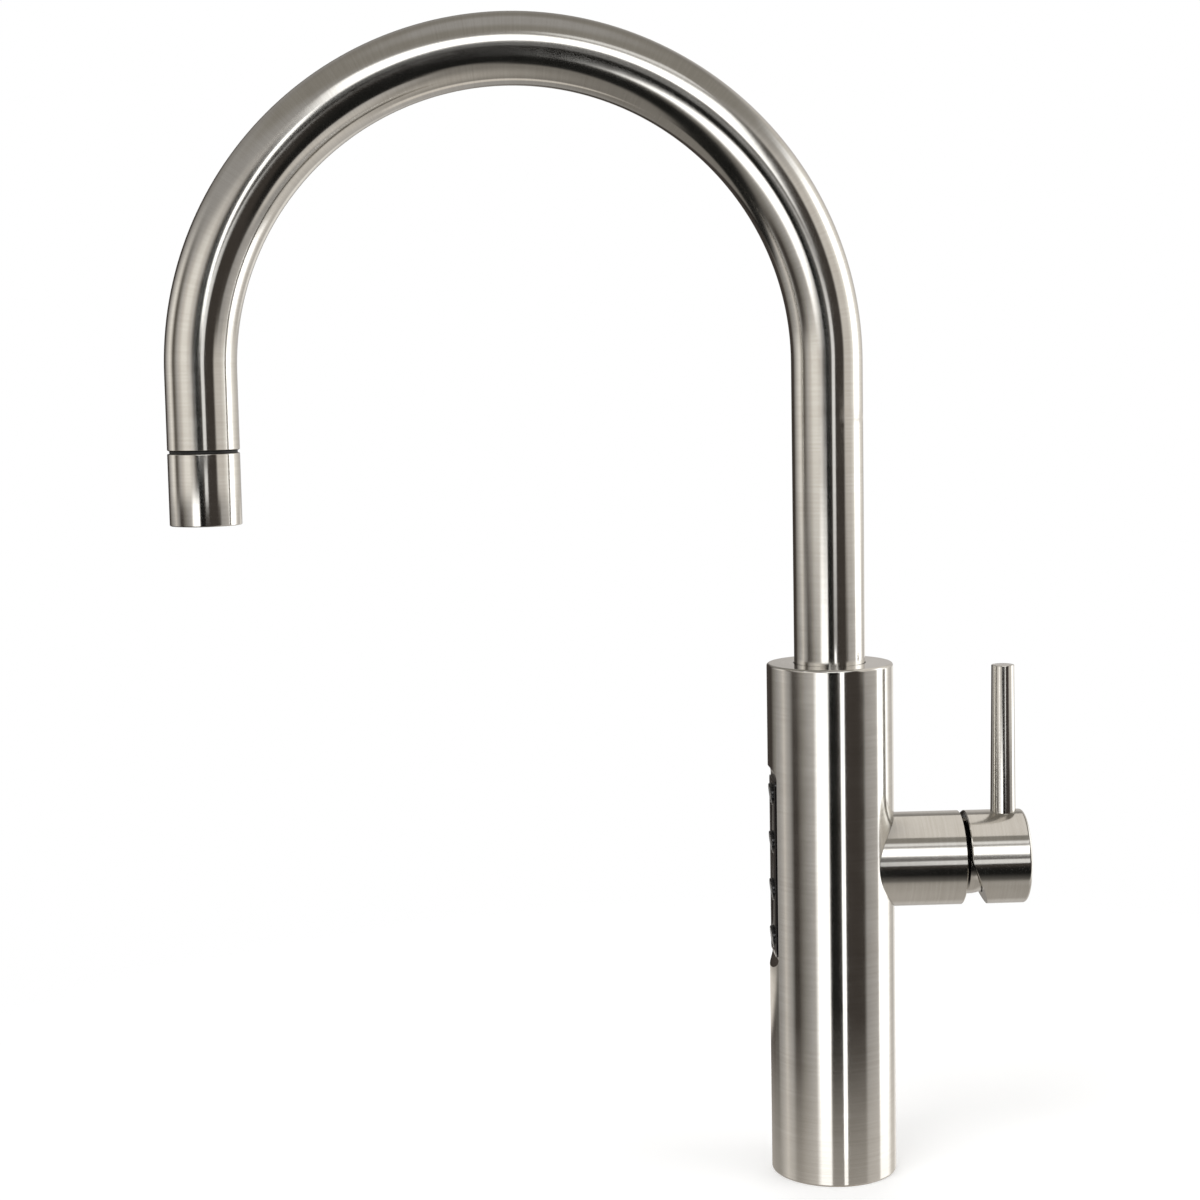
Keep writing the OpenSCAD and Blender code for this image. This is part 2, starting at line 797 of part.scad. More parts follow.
module socket_seals() {
    color(rubber_c) on_valve(pad_x) each_port(supply_port_y)
        pipe(port_r + ring_wall, port_r, ring_t);
}

module socket_screws() {
    head_x = floor_x - socket_head_h - face_gap;
    color(steel_c) on_valve(socket_screw_x) each_socket_screw() difference() {
        union() {
            cylinder(r = socket_screw_r, h = head_x - socket_screw_x + socket_key_floor);
            translate([0, 0, head_x - socket_screw_x]) cylinder(r = socket_head_r, h = socket_head_h);
        }
        translate([0, 0, head_x - socket_screw_x + socket_key_floor])
            cylinder(d = screw_key / cos(30), h = socket_head_h, $fn = 6);
    }
}

module cartridge_seals() {
    color(rubber_c) on_valve(floor_x) each_port(supply_port_y)
        pipe(port_r + ring_wall, port_r, ring_t);
}

// Its ports lead inwards, from the socket's wide spacing to the close one of the discs
module cartridge_base() {
    half_t = base_t / 2;
    color(nylon_c) difference() {
        on_valve(base_x0) cylinder(r = housing_in_r - still_fit, h = base_t);
        on_valve(base_x0 - over) each_port(supply_port_y) cylinder(r = port_r, h = half_t + over);
        on_valve(base_x0 + half_t - eps) each_port(inlet_port_y)
            cylinder(r = port_r, h = half_t + over);
        on_valve(base_x0 - over) each_port(supply_port_y)
            cylinder(r = port_r + ring_wall + still_fit, h = over + ring_t - seal_proud);
    }
}

module fixed_disc() {
    color(ceramic_c) difference() {
        on_valve(fixed_x0) cylinder(r = housing_in_r - still_fit, h = fixed_disc_t);
        on_valve(fixed_x0 - over) each_port(inlet_port_y)
            cylinder(r = port_r, h = fixed_disc_t + 2 * over);
    }
}

module cartridge_housing() {
    color(nylon_c) on_valve(base_x0) pipe(housing_r, housing_in_r, housing_x1 - base_x0);
}

// The nut holds the cartridge in, and its dome stays clear of the hub at every lift
module dome_nut() {
    shoulder = housing_x1 - nut_x0;
    dome_h = pivot_x - nut_x0;
    thread_l = boss_x1 - nut_inset - nut_x0;
    color(steel_c) on_valve(nut_x0) rotate_extrude() difference() {
        union() {
            square([boss_bore_r - still_fit, thread_l]);
            square([dome_r, dome_h]);
            intersection() {
                translate([0, dome_h]) circle(r = dome_r);
                translate([0, dome_h - eps]) square([dome_r, dome_cut + eps]);
            }
        }
        translate([-over, -over]) square([chamber_wall_r + over, shoulder + over]);
        translate([-over, -over]) square([neck_in_r + over, dome_h + over]);
        translate([0, dome_h]) circle(r = dome_in_r);
    }
}

// Turns with the lever for temperature and carries the pivot
module mix_carrier() {
    color(nylon_c) difference() {
        union() {
            on_valve(carrier_x0) cylinder(r = carrier_r, h = carrier_step_x - carrier_x0);
            on_valve(carrier_x0) cylinder(r = carrier_top_r, h = carrier_x1 - carrier_x0);
            // Guides that turn the disc slider
            intersection() {
                on_valve(slider_x0 + guide_gap) cylinder(r = carrier_r, h = carrier_x0 - slider_x0);
                translate([0, 0, valve_z]) {
                    for (s = [-1, 1]) beyond_y(slider_half_w + face_gap, s);
                }
                translate([0, -big / 2, valve_z - guide_half_z]) cube([big, big, 2 * guide_half_z]);
            }
            // Ears for the pivot pin
            for (s = [-1, 1]) translate([0, s * (ear_y0 + ear_t / 2), valve_z]) {
                translate([carrier_x1 - eps, -ear_t / 2, -ear_half_z])
                    cube([pivot_x - carrier_x1 + eps, ear_t, 2 * ear_half_z]);
                translate([pivot_x, -ear_t / 2, 0]) rotate([-90, 0, 0])
                    cylinder(r = ear_half_z, h = ear_t);
            }
        }
        // Slot for the stem's arm, which its ball passes when it is put in and when it lifts
        translate([carrier_x0 - over, -slot_half_y, valve_z + slot_z0])
            cube([carrier_x1 - carrier_x0 + 2 * over, 2 * slot_half_y, slot_z1 - slot_z0]);
        translate([pivot_x, -big / 2, valve_z]) rotate([-90, 0, 0])
            cylinder(r = pivot_r + still_fit / 2, h = big);
    }
}

module pivot_pin() {
    half = ear_y0 + ear_t;
    color(steel_c) translate([pivot_x, -half, valve_z]) rotate([-90, 0, 0])
        cylinder(r = pivot_r, h = 2 * half);
}

module cartridge_stem() {
    eye_half = ear_y0 - face_gap;
    color(brass_c) difference() {
        union() {
            on_valve(pivot_x) cylinder(r = stem_r, h = stem_x1 - pivot_x);
            translate([pivot_x, -eye_half, valve_z]) rotate([-90, 0, 0])
                cylinder(r = eye_r, h = 2 * eye_half);
            on_valve(ball_x) cylinder(r = arm_r, h = arm_l);
            translate([ball_x, 0, valve_z]) sphere(r = ball_r);
        }
        translate([pivot_x, -big / 2, valve_z]) rotate([-90, 0, 0])
            cylinder(r = pivot_r + run_fit, h = big);
    }
}

// Slides under the carrier, driven by the ball at the end of the stem
module disc_slider() {
    color(nylon_c) difference() {
        on_valve(slider_x0) at_port(0, -disc_shift)
            cylinder(r = slider_r, h = slider_x1 - slider_x0);
        for (s = [-1, 1]) translate([0, 0, valve_z]) beyond_y(slider_half_w, s);
        on_valve(drive_x0) cylinder(r = drive_r, h = big);
    }
}

// Shut, the pocket reaches the outlet alone at every temperature; lifted, it joins the inlets to it
module mixing_pocket() {
    side = 3 * moving_r;
    intersection() {
        circle(r = moving_r - pocket_rim);
        translate([-disc_shift, 0]) {
            circle(r = pocket_hub_r);
            polygon([
                [0, 0], [side * cos(pocket_fan), side * sin(pocket_fan)],
                [side * cos(pocket_fan), -side * sin(pocket_fan)]
            ]);
        }
    }
}

// A lapped disc with a blind mixing pocket in the face that lies on the fixed disc
module moving_disc() {
    color(ceramic_c) difference() {
        on_valve(moving_x0) at_port(0, -disc_shift) cylinder(r = moving_r, h = moving_disc_t);
        on_valve(moving_x0 - over) at_port(0, -disc_shift)
            linear_extrude(height = over + moving_disc_t / 2) mixing_pocket();
    }
}

// Lever

// The hub is bevelled below its middle, so that it can tip towards the boss
module lever_hub() {
    cut_l = pivot_x - hub_x0;
    color(steel_c) difference() {
        on_valve(hub_x0) rotate_extrude() {
            translate([0, gap_edge]) square([boss_r, hub_l - gap_edge - hub_edge_r]);
            polygon([[0, 0], [boss_r - gap_edge, 0], [boss_r, gap_edge], [0, gap_edge]]);
            translate([0, hub_l - hub_edge_r - eps]) square([boss_r - hub_edge_r, hub_edge_r + eps]);
            translate([boss_r - hub_edge_r, hub_l - hub_edge_r]) circle(r = hub_edge_r);
        }
        on_valve(hub_x0 - over) cylinder(r = boss_bore_r, h = over + cut_l + hub_mouth_l);
        translate([pivot_x, 0, valve_z]) sphere(r = cavity_r);
        translate([pivot_x, -big / 2, valve_z]) rotate([0, -bevel_deg, 0])
            translate([-big, 0, -big]) cube([big, big, 2 * big]);
        on_valve(pivot_x) cylinder(r = stem_r + still_fit, h = stem_x1 - pivot_x);
        translate([lever_x, 0, valve_z + boss_r - lever_seat])
            cylinder(d = lever_foot_d + 2 * still_fit, h = big);
        translate([lever_x, 0, valve_z + boss_r - lever_seat - lever_spigot_l - 0.3])
            cylinder(d = lever_spigot_d + 2 * still_fit, h = big);
        translate([screw_x, 0, valve_z - boss_r - over])
            cylinder(r = screw_r + still_fit, h = boss_r + over - stem_r / 2);
    }
}

// A slim bar that narrows a little towards its top
module lever_rod() {
    color(steel_c) translate([lever_x, 0, valve_z + boss_r - lever_seat]) {
        translate([0, 0, -lever_spigot_l]) cylinder(d = lever_spigot_d, h = lever_spigot_l + over);
        cylinder(d1 = lever_foot_d, d2 = lever_top_d, h = lever_seat + lever_l - lever_edge);
        translate([0, 0, lever_seat + lever_l - lever_edge])
            cylinder(d1 = lever_top_d, d2 = lever_top_d - lever_edge, h = lever_edge);
    }
}

// The grub screw that holds the hub on the stem, in from below
module lever_screw() {
    color(steel_c) translate([screw_x, 0, valve_z - boss_r + screw_sunk]) difference() {
        cylinder(r = screw_r, h = boss_r - screw_sunk - stem_r);
        translate([0, 0, -over]) cylinder(d = screw_key / cos(30), h = over + screw_key, $fn = 6);
    }
}

// Keypad

module keypad_plate() {
    color(black_c) difference() {
        union() {
            key_slab(plate_x, flat_x, plate_w, plate_l, plate_corner_r);
            key_slab(flat_x - eps, board_x, tray_w, tray_l, tray_corner_r);
        }
        key_slab(web_x, board_x + over, tray_w - 2 * tray_wall, tray_l - 2 * tray_wall,
            tray_corner_r / 2);
        for (z = key_zs) {
            key_bar(plate_x - over, key_well_x, key_well_r, z);
            key_bar(plate_x, web_x + over, key_stem_r + face_gap, z);
        }
    }
}

// A cap with a sloping face that stands out most at its lower edge
module button(i) {
    z = key_zs[i];
    color(key_c) {
        difference() {
            key_bar(plate_x - key_blank, key_cap_x, key_r, z);
            translate([plate_x - key_proud, -big / 2, z]) rotate([0, key_slope, 0])
                translate([-big, 0, -big / 2]) cube([big, big, big]);
        }
        key_bar(key_cap_x - eps, web_x - key_travel + over_travel, key_stem_r, z);
        key_bar(key_cap_x, switch_x + pin_seat, key_pin_r, z);
    }
}

module top_button() { button(0); }

module upper_button() { button(1); }

module lower_button() { button(2); }

module bottom_button() { button(3); }

module key_switches() {
    color(black_c) for (z = key_zs) difference() {
        translate([switch_x, -switch_w / 2, z - switch_w / 2]) cube([switch_h, switch_w, switch_w]);
        key_bar(switch_x - over, switch_x + pin_seat + key_travel + over_travel,
            key_pin_r + face_gap, z);
    }
}

module keypad_board() {
    color(board_c) key_slab(board_x, board_x + board_t, tray_w, tray_l, tray_corner_r);
}

// The heads of the four screws that hold the board, over the tray's corners
module board_screws() {
    x = board_x + board_t;
    for (i = [-1, 1], j = [-1, 1])
        color(steel_c) translate([0, j * (tray_w / 2 - screw_head_r), 0])
            key_bar(x, x + screw_head_h, screw_head_r, keypad_z + i * (tray_l / 2 - screw_edge));
}

column_shell();
base_gasket();
shank();
inlet_plate();
cable_gland();
hot_inlet();
cold_inlet();
boiling_inlet();
chilled_inlet();
hot_tube();
cold_tube();
boiling_tube();
chilled_tube();
water_manifold();
filter_riser();
spout_seals();
thrust_washer();
spout_socket();
spout_bushes();
spout_stop_screw();
mixer_boss();
cartridge_socket();
socket_seals();
socket_screws();
cartridge_seals();
cartridge_base();
fixed_disc();
cartridge_housing();
dome_nut();
keypad_plate();
key_switches();
keypad_board();
board_screws();
spout_tube();
filter_tube();
nozzle_adapter();
nozzle_gasket();
nozzle_sleeve();
aerator();
aerator_screen();
mix_carrier();
pivot_pin();
cartridge_stem();
lever_hub();
lever_rod();
lever_screw();
disc_slider();
moving_disc();
top_button();
upper_button();
lower_button();
bottom_button();
clamp_seal();
clamp_washer();
clamp_nut();
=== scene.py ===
"""A boiling water tap: the finished look of its pieces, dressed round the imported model.

Sizes in the classes are in millimetres and are turned to metres where a mesh is made.
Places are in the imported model's frame: the origin is the centre of the column's foot,
+Z is up, the spout points to -X and the lever valve to +X.
"""

import logging
import math
from collections.abc import Callable, Sequence
from dataclasses import dataclass, field
from enum import Enum

import bmesh
import bpy
from mathutils import Matrix, Vector


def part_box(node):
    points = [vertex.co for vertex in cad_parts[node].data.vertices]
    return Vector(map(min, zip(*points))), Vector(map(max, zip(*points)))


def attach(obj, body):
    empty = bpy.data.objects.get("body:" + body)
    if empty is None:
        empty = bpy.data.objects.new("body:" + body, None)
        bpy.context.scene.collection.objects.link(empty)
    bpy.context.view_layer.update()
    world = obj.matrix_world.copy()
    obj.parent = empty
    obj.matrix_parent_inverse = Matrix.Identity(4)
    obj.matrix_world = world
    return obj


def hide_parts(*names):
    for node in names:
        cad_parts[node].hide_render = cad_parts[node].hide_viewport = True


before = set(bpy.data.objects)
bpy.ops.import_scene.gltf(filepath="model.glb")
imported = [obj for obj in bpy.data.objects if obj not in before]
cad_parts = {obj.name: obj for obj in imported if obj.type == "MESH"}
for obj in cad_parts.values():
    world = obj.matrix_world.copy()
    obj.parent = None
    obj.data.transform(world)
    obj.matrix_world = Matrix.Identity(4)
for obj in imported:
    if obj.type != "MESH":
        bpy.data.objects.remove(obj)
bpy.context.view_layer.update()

MM = 0.001
WELD = 1e-7
# The maps that a brushed piece carries for its finish to follow
SURFACE_MAP = "surface"
BRUSH_MAP = "brushing"
log = logging.getLogger("tap")

Point = tuple[float, float]
Corner = tuple[float, float, float]
Colour = tuple[float, float, float, float]
Material = bpy.types.Material
Node = bpy.types.Node
Socket = bpy.types.NodeSocket
Tree = bpy.types.NodeTree
Mesh = bmesh.types.BMesh
Vert = bmesh.types.BMVert
Edge = bmesh.types.BMEdge


@dataclass(frozen=True)
class Extent:
    """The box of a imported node, in millimetres."""

    low: Vector
    high: Vector

    @classmethod
    def of(cls, node: str) -> "Extent":
        """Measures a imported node.

        Args:
            node: The node's name.

        Returns:
            The node's box at rest.
        """
        low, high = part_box(node)
        return cls(low / MM, high / MM)

    @property
    def size(self) -> Vector:
        """The box's size along X, Y and Z."""
        return self.high - self.low

    @property
    def middle(self) -> Vector:
        """The box's centre."""
        return (self.high + self.low) / 2


BOSS = Extent.of("mixer_boss")
VALVE_Z = BOSS.middle.z

# Nodes of materials


def linear(colour: str) -> Colour:
    """Turns an sRGB hex colour into the linear colour that a socket takes.

    Args:
        colour: The colour as six hex digits after a hash.

    Returns:
        Red, green, blue and an alpha of 1.
    """
    parts = [int(colour[i : i + 2], 16) / 255 for i in (1, 3, 5)]
    rgb = [c / 12.92 if c <= 0.04045 else ((c + 0.055) / 1.055) ** 2.4 for c in parts]
    return (rgb[0], rgb[1], rgb[2], 1.0)


def add_node(
    tree: Tree,
    kind: str,
    settings: dict[str | int, object] | None = None,
    links: dict[str | int, Socket] | None = None,
) -> Node:
    """Adds one node to a tree.

    Args:
        tree: The tree that gets the node.
        kind: The node's type, without its ShaderNode prefix.
        settings: Values for the node's properties, or for its sockets by name or number.
        links: Sockets of other nodes, by the name or number of the input they feed.

    Returns:
        The new node.
    """
    node = tree.nodes.new("ShaderNode" + kind)
    for key, value in (settings or {}).items():
        if isinstance(key, str) and hasattr(node, key):
            setattr(node, key, value)
        else:
            node.inputs[key].default_value = value
    for key, socket in (links or {}).items():
        tree.links.new(socket, node.inputs[key])
    return node


def ramp(
    tree: Tree,
    stops: Sequence[tuple[float, Colour]],
    factor: Socket,
) -> Socket:
    """Adds a colour ramp.

    Args:
        tree: The tree that gets the ramp.
        stops: Each stop's place from 0 to 1 and its linear colour, in order.
        factor: The socket that drives the ramp.

    Returns:
        The ramp's colour.
    """
    node = add_node(tree, "ValToRGB", links={"Fac": factor})
    elements = node.color_ramp.elements
    elements[0].position, elements[0].color = stops[0]
    elements[1].position, elements[1].color = stops[-1]
    for place, colour in stops[1:-1]:
        elements.new(place).color = colour
    return node.outputs[0]


def mix_shaders(tree: Tree, share: Socket, below: Socket, above: Socket) -> Socket:
    """Lays one shader over another.

    Args:
        tree: The tree that they are in.
        share: How much the upper one covers, from 0 to 1.
        below: The lower shader.
        above: The upper shader.

    Returns:
        The shader that shows.
    """
    return add_node(tree, "MixShader", links={0: share, 1: below, 2: above}).outputs[0]


class Grain(Enum):
    """Where a finish takes the direction of its scratches from."""

    SURFACE = "the piece's own map of its surface"
    UP = "rings round the vertical axis"
    SIDE = "rings round the valve's axis"
    FREE = "no direction"


def grain_coordinates(tree: Tree, grain: Grain) -> Socket:
    """Gives coordinates whose third part runs across the scratches.

    Args:
        tree: The material's tree.
        grain: The direction of the scratches.

    Returns:
        A vector socket in metres: two parts round the piece and one along its profile.
    """
    if grain is Grain.SURFACE:
        return add_node(tree, "Attribute", {"attribute_name": SURFACE_MAP}).outputs["Vector"]
    place = add_node(tree, "TexCoord").outputs["Object"]
    if grain is Grain.FREE:
        return place
    parts = add_node(tree, "SeparateXYZ", links={0: place}).outputs
    sums = Maths(tree)
    ring, flat, along = parts[0], parts[1], parts[2]
    if grain is Grain.SIDE:
        ring, along = sums.do("SUBTRACT", parts[2], VALVE_Z * MM), parts[0]
    across = add_node(tree, "CombineXYZ", links={0: ring, 1: flat})
    radius = add_node(tree, "VectorMath", {"operation": "LENGTH"}, {0: across.outputs[0]})
    profile = sums.do("SUBTRACT", along, radius.outputs["Value"])
    return add_node(tree, "CombineXYZ", links={0: ring, 1: flat, 2: profile}).outputs[0]


def empty_material(name: str) -> tuple[Material, Tree]:
    """Starts a material without nodes.

    Args:
        name: The material's name.

    Returns:
        The material and its tree.
    """
    material = bpy.data.materials.new(name)
    material.use_nodes = True
    material.node_tree.nodes.clear()
    return material, material.node_tree


def new_material(name: str, settings: dict[str | int, object]) -> tuple[Material, Node]:
    """Starts a material with a Principled shader.

    Args:
        name: The material's name.
        settings: Values for the shader's sockets, by name.

    Returns:
        The material and its Principled node.
    """
    material, tree = empty_material(name)
    shader = add_node(tree, "BsdfPrincipled", settings)
    add_node(tree, "OutputMaterial", links={"Surface": shader.outputs[0]})
    return material, shader


def emboss(shader: Node, height: Socket, depth_mm: float, strength: float = 1.0) -> None:
    """Gives a shader fine relief.

    Args:
        shader: The Principled node.
        height: The relief, from 0 to 1.
        depth_mm: How deep it is.
        strength: How much of it shows.
    """
    tree = shader.id_data
    settings = {"Strength": strength, "Distance": depth_mm * MM}
    relief = add_node(tree, "Bump", settings, {"Height": height})
    tree.links.new(relief.outputs[0], shader.inputs["Normal"])


def noise(
    tree: Tree,
    place: Socket,
    across_mm: Corner,
    detail: float = 2.0,
) -> Socket:
    """Adds a noise whose grains have real sizes.

    Args:
        tree: The material's tree.
        place: Coordinates in metres.
        across_mm: The size of a grain along each coordinate.
        detail: How many finer layers the noise has.

    Returns:
        The noise's value, about 0.5 in the middle.
    """
    scaled = add_node(
        tree,
        "VectorMath",
        {"operation": "MULTIPLY", 1: tuple(1 / (a * MM) for a in across_mm)},
        {0: place},
    )
    grains = add_node(
        tree, "TexNoise", {"Scale": 1.0, "Detail": detail}, {"Vector": scaled.outputs[0]}
    )
    return grains.outputs["Fac"]


def remap(
    tree: Tree, value: Socket, low: float, high: float
) -> Socket:
    """Stretches the middle of a noise to a range.

    Args:
        tree: The material's tree.
        value: The noise's value.
        low: What the noise's low end becomes.
        high: What its high end becomes.

    Returns:
        The stretched value.
    """
    stretched = add_node(
        tree,
        "MapRange",
        {"From Min": 0.3, "From Max": 0.7, "To Min": low, "To Max": high},
        {"Value": value},
    )
    return stretched.outputs["Result"]


def two_tones(
    tree: Tree, value: Socket, dark: str, light: str
) -> Socket:
    """Blends two colours by a noise.

    Args:
        tree: The material's tree.
        value: The noise's value.
        dark: The colour at its low end.
        light: The colour at its high end.

    Returns:
        The blended colour.
    """
    factor = remap(tree, value, 0.0, 1.0)
    mixed = add_node(
        tree,
        "Mix",
        {"data_type": "RGBA", "clamp_factor": True, 6: linear(dark), 7: linear(light)},
        {0: factor},
    )
    return mixed.outputs[2]


@dataclass(frozen=True)
class Maths:
    """Adds arithmetic to a tree in short calls."""

    tree: Tree

    def do(self, operation: str, *values: Socket | float) -> Socket:
        """Adds one operation.

        Args:
            operation: The math node's operation.
            *values: Its inputs, each a socket or a number.

        Returns:
            The result.
        """
        node = self.tree.nodes.new("ShaderNodeMath")
        node.operation = operation
        for i, value in enumerate(values):
            if isinstance(value, (int, float)):
                node.inputs[i].default_value = value
            else:
                self.tree.links.new(value, node.inputs[i])
        return node.outputs[0]

    def step(self, value: Socket, start: float, end: float) -> Socket:
        """Draws an edge that rises smoothly from 0 to 1.

        Args:
            value: What drives the edge.
            start: The value at which it leaves 0.
            end: The value at which it reaches 1.

        Returns:
            The edge.
        """
        node = add_node(
            self.tree,
            "MapRange",
            {"interpolation_type": "SMOOTHSTEP", "From Min": start, "From Max": end},
            {"Value": value},
        )
        return node.outputs["Result"]

    def fall(self, value: Socket, start: float, end: float) -> Socket:
        """Draws an edge that falls smoothly from 1 to 0.

        Args:
            value: What drives the edge.
            start: The value at which it leaves 1.
            end: The value at which it reaches 0.

        Returns:
            The edge.
        """
        return self.do("SUBTRACT", 1.0, self.step(value, start, end))

    def band(self, value: Socket, low: float, high: float, soft: float) -> Socket:
        """Draws a band that is 1 between two values.

        Args:
            value: What drives the band.
            low: Where its lower edge is half way.
            high: Where its upper edge is half way.
            soft: How wide each edge is.

        Returns:
            The band.
        """
        rise = self.step(value, low - soft / 2, low + soft / 2)
        return self.do("MULTIPLY", rise, self.fall(value, high - soft / 2, high + soft / 2))

    def blend(self, share: Socket, below: Socket, above: Socket | Colour) -> Socket:
        """Lays one colour over another.

        Args:
            share: How much the upper colour covers, from 0 to 1.
            below: The lower colour.
            above: The upper colour.

        Returns:
            The colour that shows.
        """
        links = {0: share, 6: below}
        settings: dict[str | int, object] = {"data_type": "RGBA"}
        if isinstance(above, tuple):
            settings[7] = above
        else:
            links[7] = above
        return add_node(self.tree, "Mix", settings, links).outputs[2]


@dataclass(frozen=True)
class PaintedGapShade:
    """A narrow gap across X whose walls are painted near-black, as painted shade for the shadow
    that falls into the gap.

    Its places are in millimetres, and below its floor the painted shade fades out.
    """

    low_x: float
    high_x: float
    floor_z: float
    soft: float = 0.06
    fade: float = 6.0
    # The near-black colour of the painted shade in the gap
    painted_shade_colour: str = "#141312"

    def darken(self, tree: Tree, colour: Socket) -> Socket:
        """Lays the painted shade over a metal's colour.

        Args:
            tree: The material's tree.
            colour: The metal's colour.

        Returns:
            The colour with the painted shade over it.
        """
        sums = Maths(tree)
        place = add_node(tree, "TexCoord").outputs["Object"]
        parts = add_node(tree, "SeparateXYZ", links={0: place}).outputs
        x, z = (sums.do("MULTIPLY", parts[i], 1 / MM) for i in (0, 2))
        # Painted shade: near-black over the gap's walls, fading out below the gap's floor
        held = sums.band(x, self.low_x, self.high_x, self.soft)
        above = sums.step(z, self.floor_z - self.fade / 2, self.floor_z + self.fade / 2)
        return sums.blend(sums.do("MULTIPLY", held, above), colour, linear(self.painted_shade_colour))


# The gap that lets the hub tilt, between the boss's end and the hub's, whose walls get painted
# shade. It is taken wider by a margin at each side, and its floor lies a little below the valve's
# axis.
GAP_MARGIN = 0.03
GAP_FLOOR = 9.0
VALVE_GAP_SHADE = PaintedGapShade(
    BOSS.high.x - GAP_MARGIN, Extent.of("lever_hub").low.x + GAP_MARGIN, VALVE_Z - GAP_FLOOR
)


@dataclass(frozen=True)
class BrushedMetal:
    """A metal turned or brushed with fine abrasive, so that its scratches run round it.

    Reflections stay sharp along the scratches' rings and smear across them, which
    draws the long straight bands that such a tube shows.
    """

    name: str
    dark: str
    light: str
    roughness: float = 0.13
    spread: float = 0.02
    anisotropy: float = 0.7
    quarter_turn: float = 0.25
    scratch_mm: float = 0.7
    scratch_run_mm: float = 40.0
    scratch_depth_mm: float = 0.0008
    scratch_share: float = 0.5
    cloud_mm: float = 9.0

    def material(self, grain: Grain, gap: PaintedGapShade | None = None) -> Material:
        """Makes the material.

        Args:
            grain: The direction of the scratches.
            gap: A gap whose walls get painted shade.

        Returns:
            The material.
        """
        # A metal with painted shade in a gap gets a name of its own
        ending = "_by_gap" if gap else ""
        material, shader = new_material(
            f"{self.name}_{grain.name.lower()}{ending}",
            {
                "Metallic": 1.0,
                "Anisotropic": 0.0 if grain is Grain.FREE else self.anisotropy,
                "Anisotropic Rotation": self.quarter_turn,
            },
        )
        tree = material.node_tree
        sums = Maths(tree)
        place = grain_coordinates(tree, grain)
        run = self.scratch_run_mm
        fine = noise(tree, place, (run, run, self.scratch_mm), 1.0)
        cloud = noise(tree, place, (self.cloud_mm,) * 3)
        worn = sums.do("MULTIPLY", fine, self.scratch_share)
        both = sums.do("MULTIPLY_ADD", cloud, 1 - self.scratch_share, worn)
        colour = two_tones(tree, both, self.dark, self.light)
        # Painted shade: the gap's walls turn near-black
        if gap:
            colour = gap.darken(tree, colour)
        tree.links.new(colour, shader.inputs["Base Color"])
        half = self.spread / 2
        sheen = remap(tree, cloud, self.roughness - half, self.roughness + half)
        tree.links.new(sheen, shader.inputs["Roughness"])
        emboss(shader, fine, self.scratch_depth_mm)
        if grain is Grain.SURFACE:
            tangent = add_node(tree, "Tangent", {"direction_type": "UV_MAP", "uv_map": BRUSH_MAP})
            tree.links.new(tangent.outputs[0], shader.inputs["Tangent"])
        elif grain in (Grain.UP, Grain.SIDE):
            axis = "Z" if grain is Grain.UP else "X"
            tangent = add_node(tree, "Tangent", {"direction_type": "RADIAL", "axis": axis})
            tree.links.new(tangent.outputs[0], shader.inputs["Tangent"])
        return material


@dataclass(frozen=True)
class Moulded:
    """A moulded, pressed or fired material that isn't a metal.

    Its surface has the faint ripple and pits that its mould or kiln leaves.
    """

    name: str
    dark: str
    light: str
    roughness: float
    grain_mm: float
    relief_mm: float
    coat: float = 0.0
    coat_roughness: float = 0.06
    scatter: float = 0.0
    scatter_mm: float = 2.0
    ior: float = 1.5
    # How far the roughness strays either way, as a share of it
    stray: float = 0.15
    grains_in_cloud: int = 14

    def material(self) -> Material:
        """Makes the material.

        Returns:
            The material.
        """
        material, shader = new_material(
            self.name,
            {
                "IOR": self.ior,
                "Coat Weight": self.coat,
                "Coat Roughness": self.coat_roughness,
                "Subsurface Weight": self.scatter,
                "Subsurface Scale": self.scatter_mm * MM,
            },
        )
        tree = material.node_tree
        place = grain_coordinates(tree, Grain.FREE)
        grains = noise(tree, place, (self.grain_mm,) * 3, 4.0)
        cloud = noise(tree, place, (self.grain_mm * self.grains_in_cloud,) * 3)
        tree.links.new(two_tones(tree, cloud, self.dark, self.light), shader.inputs["Base Color"])
        low, high = (self.roughness * (1 + side * self.stray) for side in (-1, 1))
        tree.links.new(remap(tree, grains, low, high), shader.inputs["Roughness"])
        emboss(shader, grains, self.relief_mm)
        return material


@dataclass(frozen=True)
class SolderResist:
    """Glass epoxy laminate under glossy solder resist, lighter where copper lies below."""

    name: str
    laminate: str
    laminate_too: str
    track: str
    track_mm: float = 1.6
    track_w: float = 0.12
    track_soft: float = 0.2
    track_h_mm: float = 0.03
    relief: float = 0.6
    weave_mm: float = 0.3
    roughness: Point = (0.22, 0.34)

    def material(self) -> Material:
        """Makes the material.

        Returns:
            The material.
        """
        material, shader = new_material(self.name, {})
        tree = material.node_tree
        place = grain_coordinates(tree, Grain.FREE)
        pitch = {"operation": "SCALE", "Scale": 1 / (self.track_mm * MM)}
        scaled = add_node(tree, "VectorMath", pitch, {0: place})
        tracks = add_node(
            tree,
            "TexBrick",
            {
                "Scale": 1.0,
                "Mortar Size": self.track_w,
                "Mortar Smooth": self.track_soft,
                "Color1": linear(self.laminate),
                "Color2": linear(self.laminate_too),
                "Mortar": linear(self.track),
            },
            {"Vector": scaled.outputs[0]},
        )
        tree.links.new(tracks.outputs["Color"], shader.inputs["Base Color"])
        weave = noise(tree, place, (self.weave_mm,) * 3)
        tree.links.new(remap(tree, weave, *self.roughness), shader.inputs["Roughness"])
        emboss(shader, tracks.outputs["Fac"], self.track_h_mm, self.relief)
        return material


# Stainless steel 304, turned and brushed with a fine abrasive belt: a warm pale grey
# mirror that is crisp round the piece and drawn out along it.
STAINLESS = BrushedMetal("brushed_stainless_steel", "#cbc8c2", "#d6d4cf")
